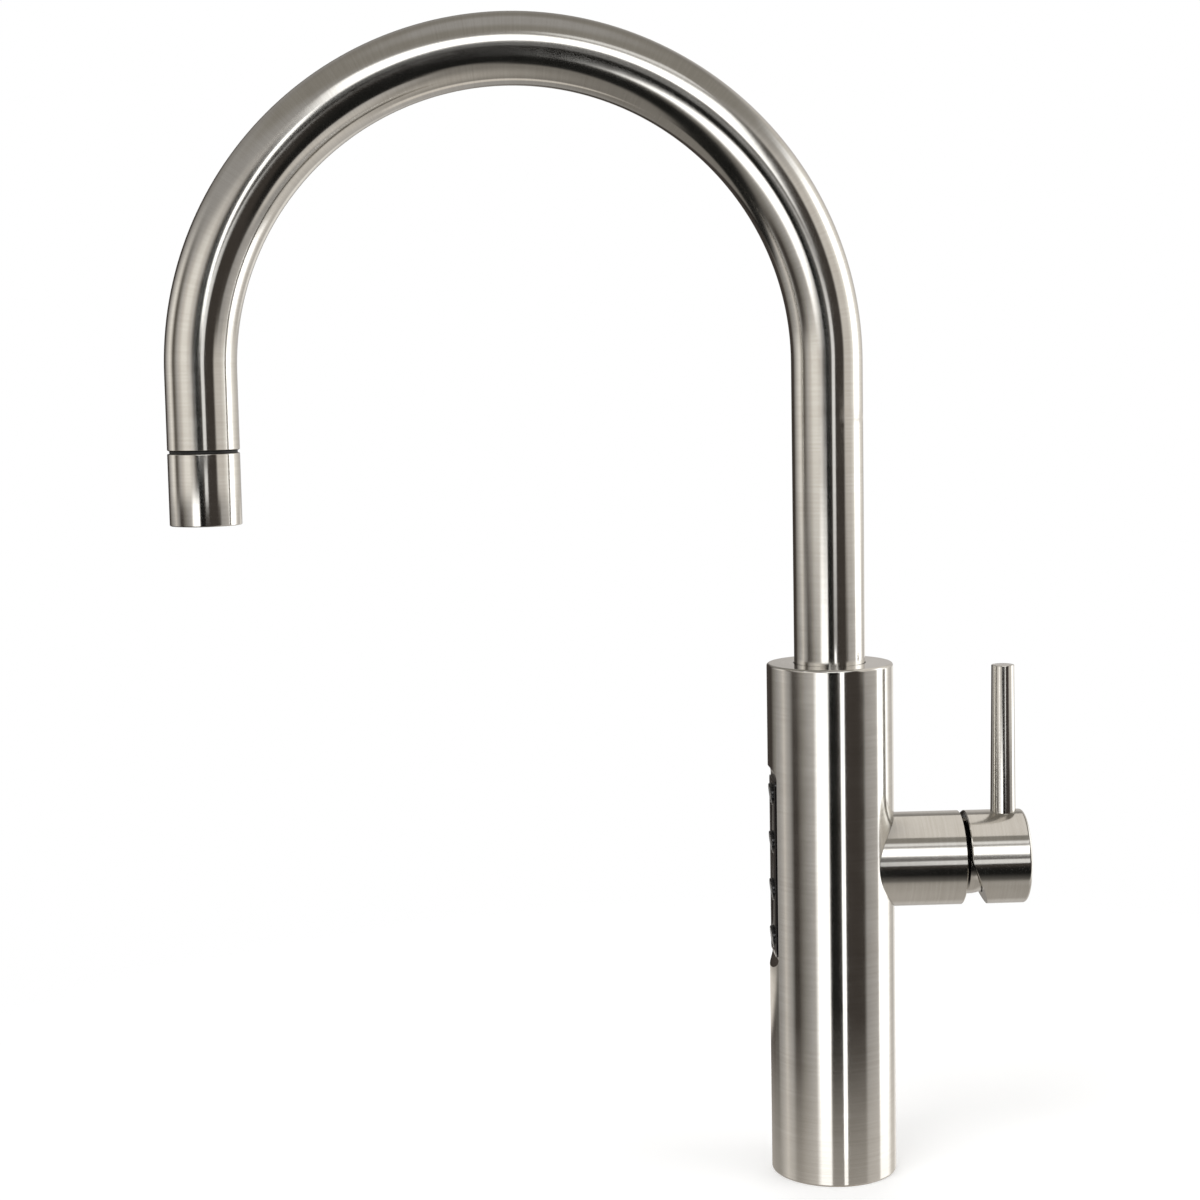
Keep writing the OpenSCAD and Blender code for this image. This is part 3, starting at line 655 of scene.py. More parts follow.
# The same steel as supply tube and small pressings, drawn and not brushed, so duller.
DRAWN_STEEL = BrushedMetal(
    "drawn_stainless_steel", "#bdb9b1", "#cbc8c1", roughness=0.34, anisotropy=0.3, scratch_mm=0.6
)
# A2 screws, cold headed and tumbled: bright, with no direction.
SCREW_STEEL = BrushedMetal(
    "tumbled_screw_steel", "#bcb9b4", "#cfccc7", roughness=0.26, anisotropy=0.0, scratch_mm=0.5,
    scratch_run_mm=0.5,
)
# Low lead brass, turned on a lathe: yellow with fine tool rings.
TURNED_BRASS = BrushedMetal(
    "turned_brass", "#b8934a", "#d0ae63", roughness=0.3, anisotropy=0.5, scratch_mm=0.5,
    scratch_depth_mm=0.002,
)
# EPDM rubber, pressed in a mould: matt black with a faint bloom.
RUBBER = Moulded("moulded_epdm_rubber", "#1c1c1c", "#2b2b2a", 0.62, 0.25, 0.004)
# Acetal, injection moulded: milky white, half matt, slightly waxy.
ACETAL = Moulded("moulded_acetal", "#dfdbcf", "#ece8dd", 0.38, 0.3, 0.002, scatter=0.15, ior=1.48)
# Alumina, fired and lapped: dense white that shines.
ALUMINA = Moulded("lapped_alumina", "#ebe8e0", "#f7f5ef", 0.16, 0.12, 0.0006, coat=0.2, ior=1.76)
# ABS for the keypad, moulded against a polished steel: deep gloss black.
BLACK_ABS = Moulded("gloss_black_abs", "#0a0a0b", "#101011", 0.14, 0.5, 0.0006, coat=0.3, ior=1.52)
# ABS for the buttons, moulded grey and satin: light soft highlights.
GREY_ABS = Moulded("satin_grey_abs", "#8a8a88", "#969694", 0.3, 0.22, 0.0012, coat=0.15, ior=1.52)
# The keypad's board: green resist over epoxy, with its tracks a lighter green.
BOARD_GREEN = SolderResist("green_solder_resist", "#1f5a38", "#235f3c", "#3c8a57")


@dataclass
class Wardrobe:
    """Keeps one copy of each material, and hands it to whatever wears it."""

    made: dict[str, Material] = field(default_factory=dict)

    def get(self, key: str, make: Callable[[], Material]) -> Material:
        """Returns a material, made when it is first asked for.

        Args:
            key: The material's key.
            make: Makes the material.

        Returns:
            The material.
        """
        if key not in self.made:
            self.made[key] = make()
        return self.made[key]

    def metal(
        self, finish: BrushedMetal, grain: Grain, gap: PaintedGapShade | None = None
    ) -> Material:
        """Returns a metal with its scratches laid one way.

        Args:
            finish: The metal's finish.
            grain: The direction of the scratches.
            gap: A gap whose walls get painted shade.

        Returns:
            The material.
        """
        return self.get(f"{finish.name} {grain.name} {gap}", lambda: finish.material(grain, gap))

    def moulded(self, finish: Moulded) -> Material:
        """Returns a moulded material.

        Args:
            finish: The material's finish.

        Returns:
            The material.
        """
        return self.get(finish.name, finish.material)

    def dress(self, material: Material, *nodes: str) -> None:
        """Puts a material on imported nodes, whose shape stays.

        Args:
            material: What the nodes wear.
            *nodes: The nodes' names.
        """
        for name in nodes:
            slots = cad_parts[name].data.materials
            if not slots:
                slots.append(material)
            for i in range(len(slots)):
                slots[i] = material
            log.info("dressed %s in %s", name, material.name)


# Meshes


def shift(x: float = 0.0, y: float = 0.0, z: float = 0.0) -> Matrix:
    """Gives a move in millimetres.

    Args:
        x: How far along X.
        y: How far along Y.
        z: How far along Z.

    Returns:
        The move's matrix, in metres.
    """
    return Matrix.Translation(Vector((x, y, z)) * MM)


def rounded(corners: Sequence[Corner], steps: int = 5) -> list[Point]:
    """Rounds the corners of an open outline.

    Args:
        corners: Each corner's radius from the axis, height, and rounding.
        steps: Faces on each rounding.

    Returns:
        The outline's points.
    """
    points: list[Point] = []
    for i, (r, h, soft) in enumerate(corners):
        if soft <= 0 or i in (0, len(corners) - 1):
            points.append((r, h))
            continue
        here = Vector((r, h))
        before = (Vector(corners[i - 1][:2]) - here).normalized()
        after = (Vector(corners[i + 1][:2]) - here).normalized()
        half = before.angle(after) / 2
        centre = here + (before + after).normalized() * (soft / math.sin(half))
        start = here + before * (soft / math.tan(half)) - centre
        end = here + after * (soft / math.tan(half)) - centre
        for step in range(steps + 1):
            spoke = start.slerp(end, step / steps).normalized() * soft
            points.append((centre.x + spoke.x, centre.y + spoke.y))
    return points


def turn(profile: Sequence[Point], steps: int = 128, closed: bool = False) -> Mesh:
    """Turns a profile round the lathe's vertical axis.

    Args:
        profile: Each point's radius and height, in millimetres.
        steps: Faces round the piece.
        closed: Whether the last point joins the first.

    Returns:
        The turned mesh, in metres on the lathe, with its profile's length in a layer.
    """
    bm = bmesh.new()
    along = bm.verts.layers.float.new("along")
    verts = []
    length = 0.0
    for i, (r, h) in enumerate(profile):
        if i:
            length += math.dist(profile[i - 1], (r, h))
        vert = bm.verts.new((max(r, 0.0) * MM, 0, h * MM))
        vert[along] = length
        verts.append(vert)
    pairs = list(zip(verts, verts[1:]))
    if closed:
        pairs.append((verts[-1], verts[0]))
    for pair in pairs:
        bm.edges.new(pair)
    bmesh.ops.spin(
        bm,
        geom=bm.verts[:] + bm.edges[:],
        cent=(0, 0, 0),
        axis=(0, 0, 1),
        dvec=(0, 0, 0),
        angle=math.tau,
        steps=steps,
        use_merge=True,
    )
    bmesh.ops.remove_doubles(bm, verts=bm.verts[:], dist=WELD)
    bmesh.ops.recalc_face_normals(bm, faces=bm.faces[:])
    return bm


def lay_brushing(
    bm: Mesh, locate: Callable[[Vert], Point] | None = None, round_mm: float = 0.0
) -> None:
    """Writes the maps that a brushed finish follows.

    The surface map holds a direction round the piece and the length along it, and the
    brushing map holds the same as an angle and a length, so that its U runs round.

    Args:
        bm: The mesh, still on the lathe.
        locate: Gives a vertex's angle round the piece in radians and its length along it
            in millimetres. Without it they come from the lathe.
        round_mm: The radius that the direction is drawn at, where locate is given.
    """
    along = bm.verts.layers.float.get("along")
    surface = bm.verts.layers.float_vector.new(SURFACE_MAP)
    brushing = bm.loops.layers.uv.new(BRUSH_MAP)
    reference = round_mm * MM if locate else max(v.co.xy.length for v in bm.verts)
    found: dict[Vert, Point] = {}
    for vert in bm.verts:
        if locate is None:
            angle, length = math.atan2(vert.co.y, vert.co.x), vert[along]
        else:
            angle, length = locate(vert)
        found[vert] = (angle, length)
        vert[surface] = (math.cos(angle) * reference, math.sin(angle) * reference, length * MM)
    for face in bm.faces:
        angles = [found[v][0] for v in face.verts if v.co.xy.length > WELD or locate]
        first = angles[0] if angles else 0.0
        for loop in face.loops:
            angle, length = found[loop.vert]
            if locate is None and loop.vert.co.xy.length <= WELD:
                angle = first
            while angle - first > math.pi:
                angle -= math.tau
            while first - angle > math.pi:
                angle += math.tau
            loop[brushing].uv = (angle / math.tau, length / 100)


def cut_flats(bm: Mesh, across: float, sides: int, first_deg: float) -> None:
    """Cuts flats round an upright turned piece, as on a nut.

    Args:
        bm: The turned piece, still on the lathe.
        across: The distance across two flats, in millimetres.
        sides: How many flats there are.
        first_deg: Which way the first flat faces.
    """
    for i in range(sides):
        angle = math.radians(first_deg) + math.tau * i / sides
        way = Vector((math.cos(angle), math.sin(angle), 0))
        made = bmesh.ops.bisect_plane(
            bm,
            geom=bm.verts[:] + bm.edges[:] + bm.faces[:],
            dist=WELD,
            plane_co=way * (across / 2 * MM),
            plane_no=way,
            clear_outer=True,
        )["geom_cut"]
        rim = [g for g in made if isinstance(g, Edge)]
        bmesh.ops.holes_fill(bm, edges=rim, sides=0)
    bmesh.ops.recalc_face_normals(bm, faces=bm.faces[:])


def finish_piece(
    bm: Mesh,
    name: str,
    material: Material | Sequence[Material],
    body: str,
    replaces: Sequence[str] = (),
    place: Matrix | None = None,
    sharp_deg: float = 35.0,
) -> bpy.types.Object:
    """Makes a piece of a mesh, dresses it and lets it ride.

    Args:
        bm: The mesh, which is used up.
        name: The piece's name.
        material: What it wears, or several that its faces choose from.
        body: The body that it moves with.
        replaces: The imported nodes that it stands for.
        place: The move from the lathe to the piece's place.
        sharp_deg: Edges that turn by more than this stay sharp.

    Returns:
        The piece.
    """
    if place is not None:
        bmesh.ops.transform(bm, matrix=place, verts=bm.verts[:])
    mesh = bpy.data.meshes.new(name)
    bm.to_mesh(mesh)
    bm.free()
    mesh.shade_smooth()
    mesh.set_sharp_from_angle(angle=math.radians(sharp_deg))
    for worn in [material] if isinstance(material, Material) else material:
        mesh.materials.append(worn)
    piece = bpy.data.objects.new(name, mesh)
    bpy.context.scene.collection.objects.link(piece)
    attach(piece, body)
    if replaces:
        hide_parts(*replaces)
    log.info("made %s: %d faces, rides %s", name, len(mesh.polygons), body)
    return piece


# Sub-assemblies


@dataclass
class SwanNeck:
    """The spout: one bent tube with the nozzle, its gasket and the aerator below it."""

    wardrobe: Wardrobe
    tube_r: float = 14.0
    wall: float = 1.5
    end_chamfer: float = 0.35
    ring_steps: int = 96
    bend_steps: int = 120
    leg_steps: int = 12
    drop_steps: int = 6
    # The stop screw's groove: half its width, its depth, its flank and how far it runs round
    groove_half: float = 1.9
    groove_depth: float = 1.0
    groove_flank: float = 0.1
    groove_reach_deg: float = 98.0
    lip_r: float = 11.2
    lip_h: float = 1.6
    edge: float = 0.5
    gasket_edge: float = 0.3
    jet_count: int = 16
    jet_r: float = 0.8
    nub_r: float = 1.25
    nub_taper: float = 0.2
    nub_h: float = 0.9

    def __post_init__(self) -> None:
        """Takes the spout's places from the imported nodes."""
        self.tube = Extent.of("spout_tube")
        self.sleeve = Extent.of("nozzle_sleeve")
        self.gasket = Extent.of("nozzle_gasket")
        self.reach = -self.sleeve.middle.x
        self.bend_r = self.reach / 2
        self.arch_z = self.tube.high.z - self.tube_r - self.bend_r
        self.joint_z = self.gasket.high.z

    def locate(self, vert: Vert) -> Point:
        """Gives a vertex's angle round the tube and its length along the tube's path.

        Args:
            vert: A vertex of the tube.

        Returns:
            The angle in radians and the length in millimetres.
        """
        x, y, z = vert.co / MM
        riser = self.arch_z - self.tube.low.z
        if z > self.arch_z:
            bend = math.atan2(z - self.arch_z, x + self.bend_r)
            out = math.hypot(x + self.bend_r, z - self.arch_z) - self.bend_r
            return math.atan2(y, out), riser + self.bend_r * bend
        if x > -self.bend_r:
            return math.atan2(y, x), z - self.tube.low.z
        length = riser + math.pi * self.bend_r + self.arch_z - z
        return math.atan2(y, -self.reach - x), length

    def bent_tube(self) -> None:
        """Bends the tube: a ring drawn up, swept over the arch and drawn down again."""
        bm = bmesh.new()
        low, radius = self.tube.low.z, self.tube_r * MM
        bmesh.ops.create_circle(bm, segments=self.ring_steps, radius=radius, matrix=shift(z=low))
        groove = Extent.of("spout_stop_screw").middle.z
        above = groove + self.groove_half
        step = (self.arch_z - above) / self.leg_steps
        legs = [above + step * (i + 1) for i in range(self.leg_steps)]
        ring = self.draw_to(bm, bm.edges[:], low, [groove - self.groove_half, above, *legs])
        swept = bmesh.ops.spin(
            bm,
            geom=list({v for e in ring for v in e.verts}) + ring,
            cent=(-self.bend_r * MM, 0, self.arch_z * MM),
            axis=(0, -1, 0),
            dvec=(0, 0, 0),
            angle=math.pi,
            steps=self.bend_steps,
        )
        ring = [g for g in swept["geom_last"] if isinstance(g, Edge)]
        end = self.joint_z + self.end_chamfer
        drop = (self.arch_z - end) / self.drop_steps
        drops = [self.arch_z - drop * (i + 1) for i in range(self.drop_steps)]
        ring = self.draw_to(bm, ring, self.arch_z, drops)
        ring = self.draw_to(bm, ring, end, [self.joint_z])
        verts = list({v for e in ring for v in e.verts})
        shrink = (self.tube_r - self.end_chamfer) / self.tube_r
        bmesh.ops.scale(bm, vec=(shrink, shrink, 1), verts=verts, space=shift(self.reach))
        bmesh.ops.remove_doubles(bm, verts=bm.verts[:], dist=WELD)
        bmesh.ops.recalc_face_normals(bm, faces=bm.faces[:])
        self.press_groove(bm, groove)
        lay_brushing(bm, self.locate, self.tube_r)
        piece = finish_piece(
            bm,
            "bent_tube",
            self.wardrobe.metal(STAINLESS, Grain.SURFACE),
            "spout",
            ["spout_tube"],
        )
        wall = piece.modifiers.new("wall", "SOLIDIFY")
        wall.thickness = self.wall * MM
        wall.offset = -1.0

    def draw_to(
        self, bm: Mesh, ring: list[Edge], start: float, heights: Sequence[float]
    ) -> list[Edge]:
        """Draws a ring of edges straight up or down, from one height to the next.

        Args:
            bm: The mesh.
            ring: The edges to draw out.
            start: The ring's height in millimetres.
            heights: The heights that it stops at, in millimetres.

        Returns:
            The last ring.
        """
        for height in heights:
            made = bmesh.ops.extrude_edge_only(bm, edges=ring)["geom"]
            verts = [g for g in made if isinstance(g, Vert)]
            bmesh.ops.translate(bm, vec=(0, 0, (height - start) * MM), verts=verts)
            start = height
            ring = [g for g in made if isinstance(g, Edge)]
        return ring

    def press_groove(self, bm: Mesh, middle: float) -> None:
        """Presses the stop screw's groove into the back of the tube.

        Args:
            bm: The tube's mesh.
            middle: The groove's height.
        """
        faces = []
        for face in bm.faces:
            spot = face.calc_center_median() / MM
            off = abs(math.degrees(math.atan2(spot.x, spot.y)))
            on_riser = spot.x > -self.bend_r and abs(spot.z - middle) < self.groove_half
            if on_riser and off < self.groove_reach_deg:
                faces.append(face)
        flank, depth = self.groove_flank * MM, -self.groove_depth * MM
        bmesh.ops.inset_region(bm, faces=faces, thickness=flank, depth=depth, use_even_offset=True)

    def sleeve_ring(self) -> None:
        """Turns the nozzle's sleeve, with its lip under the aerator and softened edges."""
        low, high = self.sleeve.low.z, self.sleeve.high.z
        r, inner, e = self.tube_r, self.tube_r - self.wall, self.edge
        corners = [
            (inner, high, 0),
            (inner, low + self.lip_h, 0.2),
            (self.lip_r, low + self.lip_h, 0.15),
            (self.lip_r, low, 0.25),
            (r, low, e),
            (r, high, self.end_chamfer),
            (inner, high, 0),
        ]
        bm = turn(rounded(corners))
        lay_brushing(bm)
        finish_piece(
            bm,
            "nozzle_sleeve_turned",
            self.wardrobe.metal(STAINLESS, Grain.SURFACE),
            "spout",
            ["nozzle_sleeve"],
            shift(-self.reach),
        )

    def joint_gasket(self) -> None:
        """Turns the gasket in the joint line, with a soft outer edge."""
        outer, inner = self.gasket.size.x / 2, self.tube_r - self.wall
        low, high = self.gasket.low.z, self.gasket.high.z
        corners = [
            (inner, low, 0),
            (outer, low, self.gasket_edge),
            (outer, high, self.gasket_edge),
            (inner, high, 0),
            (inner, low, 0),
        ]
        finish_piece(
            turn(rounded(corners), 96),
            "joint_gasket",
            self.wardrobe.moulded(RUBBER),
            "spout",
            ["nozzle_gasket"],
            shift(-self.reach),
        )

    def jet_nubs(self) -> None:
        """Turns the soft nubs round the jets, which stand in the nozzle's lip."""
        ring_r = (self.lip_r + Extent.of("filter_tube").size.y / 2) / 2
        top = Extent.of("aerator").low.z
        corners = [
            (self.jet_r, top, 0),
            (self.nub_r, top, 0),
            (self.nub_r - self.nub_taper, top - self.nub_h, 0.2),
            (self.jet_r, top - self.nub_h, 0.1),
            (self.jet_r, top, 0),
        ]
        nub = turn(rounded(corners, 3), 20)
        source = bpy.data.meshes.new("nub")
        nub.to_mesh(source)
        nub.free()
        bm = bmesh.new()
        for i in range(self.jet_count):
            before = len(bm.verts)
            bm.from_mesh(source)
            bm.verts.ensure_lookup_table()
            around = Matrix.Rotation(math.tau * i / self.jet_count, 4, "Z")
            move = shift(-self.reach) @ around @ shift(ring_r)
            bmesh.ops.transform(bm, matrix=move, verts=bm.verts[before:])
        bpy.data.meshes.remove(source)
        finish_piece(bm, "jet_nubs", self.wardrobe.moulded(RUBBER), "spout")

    def build(self) -> None:
        """Builds the spout's pieces and dresses its inner nodes."""
        self.bent_tube()
        self.sleeve_ring()
        self.joint_gasket()
        self.jet_nubs()
        wear = self.wardrobe
        wear.dress(wear.moulded(ACETAL), "filter_tube", "aerator")
        wear.dress(wear.metal(TURNED_BRASS, Grain.FREE), "nozzle_adapter")
        wear.dress(wear.metal(SCREW_STEEL, Grain.FREE), "aerator_screen")


@dataclass
class LeverHandle:
    """The hub with its bevelled lower half, the slim bar and the grub screw."""

    wardrobe: Wardrobe
    rod_foot_r: float = 5.0
    rod_top_r: float = 4.5
    rod_edge: float = 0.35
    seat: float = 2.5
    spigot_r: float = 3.0
    spigot_edge: float = 0.3

    def bar(self) -> None:
        """Turns the slim bar, a little narrower at its top."""
        rod = Extent.of("lever_rod")
        low, high = rod.low.z, rod.high.z
        foot = VALVE_Z + BOSS.size.z / 2 - self.seat
        corners = [
            (0, low, 0),
            (self.spigot_r, low, self.spigot_edge),
            (self.spigot_r, foot, 0),
            (self.rod_foot_r, foot, 0),
            (self.rod_top_r, high, self.rod_edge),
            (0, high, 0),
        ]
        bm = turn(rounded(corners), 96)
        lay_brushing(bm)
        finish_piece(
            bm,
            "lever_bar",
            self.wardrobe.metal(STAINLESS, Grain.SURFACE),
            "lever",
            ["lever_rod"],
            shift(rod.middle.x),
        )

    def build(self) -> None:
        """Builds the handle's bar and dresses its other nodes."""
        self.bar()
        wear = self.wardrobe
        # The hub gets painted shade on its walls in the valve's gap
        wear.dress(wear.metal(STAINLESS, Grain.SIDE, VALVE_GAP_SHADE), "lever_hub")
        wear.dress(wear.metal(SCREW_STEEL, Grain.FREE), "lever_screw")
        wear.dress(wear.metal(TURNED_BRASS, Grain.SIDE), "cartridge_stem")


@dataclass
class Column:
    """The column with the mixer valve's fixed pieces, the waterways and the spout's bearing."""

    wardrobe: Wardrobe

    def build(self) -> None:
        """Dresses the column's nodes."""
        wear = self.wardrobe
        wear.dress(wear.metal(STAINLESS, Grain.UP), "column_shell")
        # The boss and the dome nut get painted shade where they face the valve's gap
        wear.dress(wear.metal(STAINLESS, Grain.SIDE, VALVE_GAP_SHADE), "mixer_boss", "dome_nut")
        wear.dress(
            wear.metal(TURNED_BRASS, Grain.UP), "water_manifold", "spout_socket", "inlet_plate"
        )
        wear.dress(wear.metal(TURNED_BRASS, Grain.SIDE), "cartridge_socket")
        wear.dress(
            wear.metal(DRAWN_STEEL, Grain.FREE),
            "hot_tube",
            "cold_tube",
            "boiling_tube",
            "chilled_tube",
            "filter_riser",
        )
        wear.dress(
            wear.moulded(RUBBER), "base_gasket", "spout_seals", "socket_seals", "cartridge_seals"
        )
        wear.dress(
            wear.moulded(ACETAL),
            "thrust_washer",
            "spout_bushes",
            "cartridge_base",
            "cartridge_housing",
            "mix_carrier",
            "disc_slider",
        )
        wear.dress(wear.moulded(ALUMINA), "fixed_disc", "moving_disc")
        wear.dress(
            wear.metal(SCREW_STEEL, Grain.FREE), "spout_stop_screw", "socket_screws", "pivot_pin"
        )


@dataclass
class Keypad:
    """The keypad in the column's recess, with its four buttons."""

    wardrobe: Wardrobe
    edge: float = 2.0
    edge_steps: int = 8
    crown: float = 0.12
    cover: float = 0.2
    well_r: float = 4.8
    well_steps: int = 64
    # The face is cut into strips this wide, so that its crown can bend
    strip: float = 1.4
    snap: float = 0.04
    rim_edge: float = 0.12
    rim_turn_rad: float = 1.2
    head: float = 1.35
    stem_r: float = 2.6
    pin_r: float = 1.2
    pin_h: float = 1.36
    cap_edge: float = 0.55
    cap_r: float = 3.5
    cap_depth: float = 0.5
    # The groove round the cap: how far out it starts and is deepest, and its depth
    groove_out: float = 0.25
    groove_bed: float = 0.15
    groove_depth: float = 0.14
    dish: float = 0.18
    # How far in from the cap's edge, and what share of the dish's depth is reached there
    dish_steps: tuple[Point, ...] = ((0.9, 0.6), (2.0, 0.9))
    slope_deg: float = 7.0
    nodes: tuple[str, ...] = ("top_button", "upper_button", "lower_button", "bottom_button")

    def __post_init__(self) -> None:
        """Takes the keypad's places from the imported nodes."""
        self.plate = Extent.of("keypad_plate")
        self.keys = {node: Extent.of(node) for node in self.nodes}

    def outline(self) -> list[Point]:
        """Draws the plate's outline, with its corners rounded.

        Returns:
            Each point's Y and Z from the plate's middle.
        """
        half_w, half_l = self.plate.size.y / 2, self.plate.size.z / 2
        corners = [(0, half_l, 0), (half_w, half_l, self.edge), (half_w, 0, 0)]
        quarter = rounded(corners, self.edge_steps)
        ring: list[Point] = []
        for i, (y_way, z_way) in enumerate(((1, 1), (1, -1), (-1, -1), (-1, 1))):
            points = quarter if i % 2 == 0 else quarter[::-1]
            ring += [(y_way * y, z_way * z) for y, z in points[:-1]]
        return ring

    def blank(self) -> Mesh:
        """Fills the plate's outline round its four wells, and cuts it into strips.

        Returns:
            The flat blank, in its place.
        """
        bm = bmesh.new()
        front, middle = self.plate.low.x, self.plate.middle.z
        spots = [(front * MM, y * MM, (middle + z) * MM) for y, z in self.outline()]
        verts = [bm.verts.new(spot) for spot in spots]
        for pair in zip(verts, verts[1:] + verts[:1]):
            bm.edges.new(pair)
        upright = Matrix.Rotation(math.radians(90), 4, "Y")
        for key in self.keys.values():
            bmesh.ops.create_circle(
                bm,
                segments=self.well_steps,
                radius=self.well_r * MM,
                matrix=shift(front, 0, key.middle.z) @ upright,
            )
        bmesh.ops.triangle_fill(bm, use_beauty=True, use_dissolve=False, edges=bm.edges[:])
        cuts = int(self.plate.size.y / 2 / self.strip)
        for i in range(-cuts, cuts + 1):
            bmesh.ops.bisect_plane(
                bm,
                geom=bm.verts[:] + bm.edges[:] + bm.faces[:],
                dist=self.snap * MM,
                plane_co=(0, i * self.strip * MM, 0),
                plane_no=(0, 1, 0),
            )
        bmesh.ops.remove_doubles(bm, verts=bm.verts[:], dist=self.snap * MM)
        return bm

    def face(self) -> None:
        """Makes the plate's gloss face: the blank raised, crowned and softened at its rims."""
        bm = self.blank()
        front, half_w = self.plate.low.x, self.plate.size.y / 2
        made = bmesh.ops.extrude_face_region(bm, geom=bm.faces[:])["geom"]
        skin = [g for g in made if isinstance(g, Vert)]
        for vert in skin:
            fall = self.crown * (vert.co.y / MM / half_w) ** 2
            vert.co.x = (front - self.cover + fall) * MM
        bmesh.ops.recalc_face_normals(bm, faces=bm.faces[:])
        in_skin, turned = set(skin).issuperset, self.rim_turn_rad
        rims = [e for e in bm.edges if e.calc_face_angle(0) > turned and in_skin(e.verts)]
        bmesh.ops.bevel(
            bm,
            geom=rims,
            offset=self.rim_edge * MM,
            offset_type="OFFSET",
            segments=2,
            profile=0.5,
            affect="EDGES",
            material=-1,
            clamp_overlap=False,
        )
        bmesh.ops.dissolve_degenerate(bm, dist=WELD, edges=bm.edges[:])
        finish_piece(
            bm, "keypad_face", self.wardrobe.moulded(BLACK_ABS), "column"
        )

    def button(self, node: str) -> None:
        """Turns one button: a pin, a stem and a dark head with a dished, sloping cap.

        Args:
            node: The button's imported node, which the piece stands for and rides with.
        """
        key = self.keys[node]
        r, cap_r = key.size.y / 2, self.cap_r
        slope = math.tan(math.radians(self.slope_deg))
        top = -key.low.x - r * slope
        foot = -key.high.x
        under = top - self.head
        corners = [
            (0, foot, 0),
            (self.pin_r, foot, 0.15),
            (self.pin_r, foot + self.pin_h, 0),
            (self.stem_r, foot + self.pin_h, 0.2),
            (self.stem_r, under, 0),
            (r, under, 0.1),
            (r, top, self.cap_edge),
            (cap_r + self.groove_out, top, 0.06),
            (cap_r + self.groove_bed, top - self.groove_depth, 0.04),
            (cap_r, top, 0.06),
            *((cap_r - inset, top - self.dish * share, 0) for inset, share in self.dish_steps),
            (0, top - self.dish, 0),
        ]
        bm = turn(rounded(corners), 72)
        for face in bm.faces:
            middle = face.calc_center_median() / MM
            is_cap = middle.xy.length < cap_r and middle.z > top - self.cap_depth
            face.material_index = int(is_cap)
        raised = [v for v in bm.verts if v.co.z / MM > top - self.cap_edge - 0.1]
        for vert in raised:
            vert.co.z += vert.co.x * slope
        wear = self.wardrobe
        finish_piece(
            bm,
            node.replace("button", "key_cap"),
            [wear.moulded(BLACK_ABS), wear.moulded(GREY_ABS)],
            node.replace("button", "key"),
            [node],
            shift(z=key.middle.z) @ Matrix.Rotation(math.radians(-90), 4, "Y"),
            sharp_deg=50,
        )

    def build(self) -> None:
        """Builds the face and the buttons, and dresses the keypad's other nodes."""
        self.face()
        for node in self.nodes:
            self.button(node)
        wear = self.wardrobe
        wear.dress(wear.moulded(BLACK_ABS), "keypad_plate", "key_switches")
        wear.dress(wear.get(BOARD_GREEN.name, BOARD_GREEN.material), "keypad_board")
        wear.dress(wear.metal(SCREW_STEEL, Grain.FREE), "board_screws")


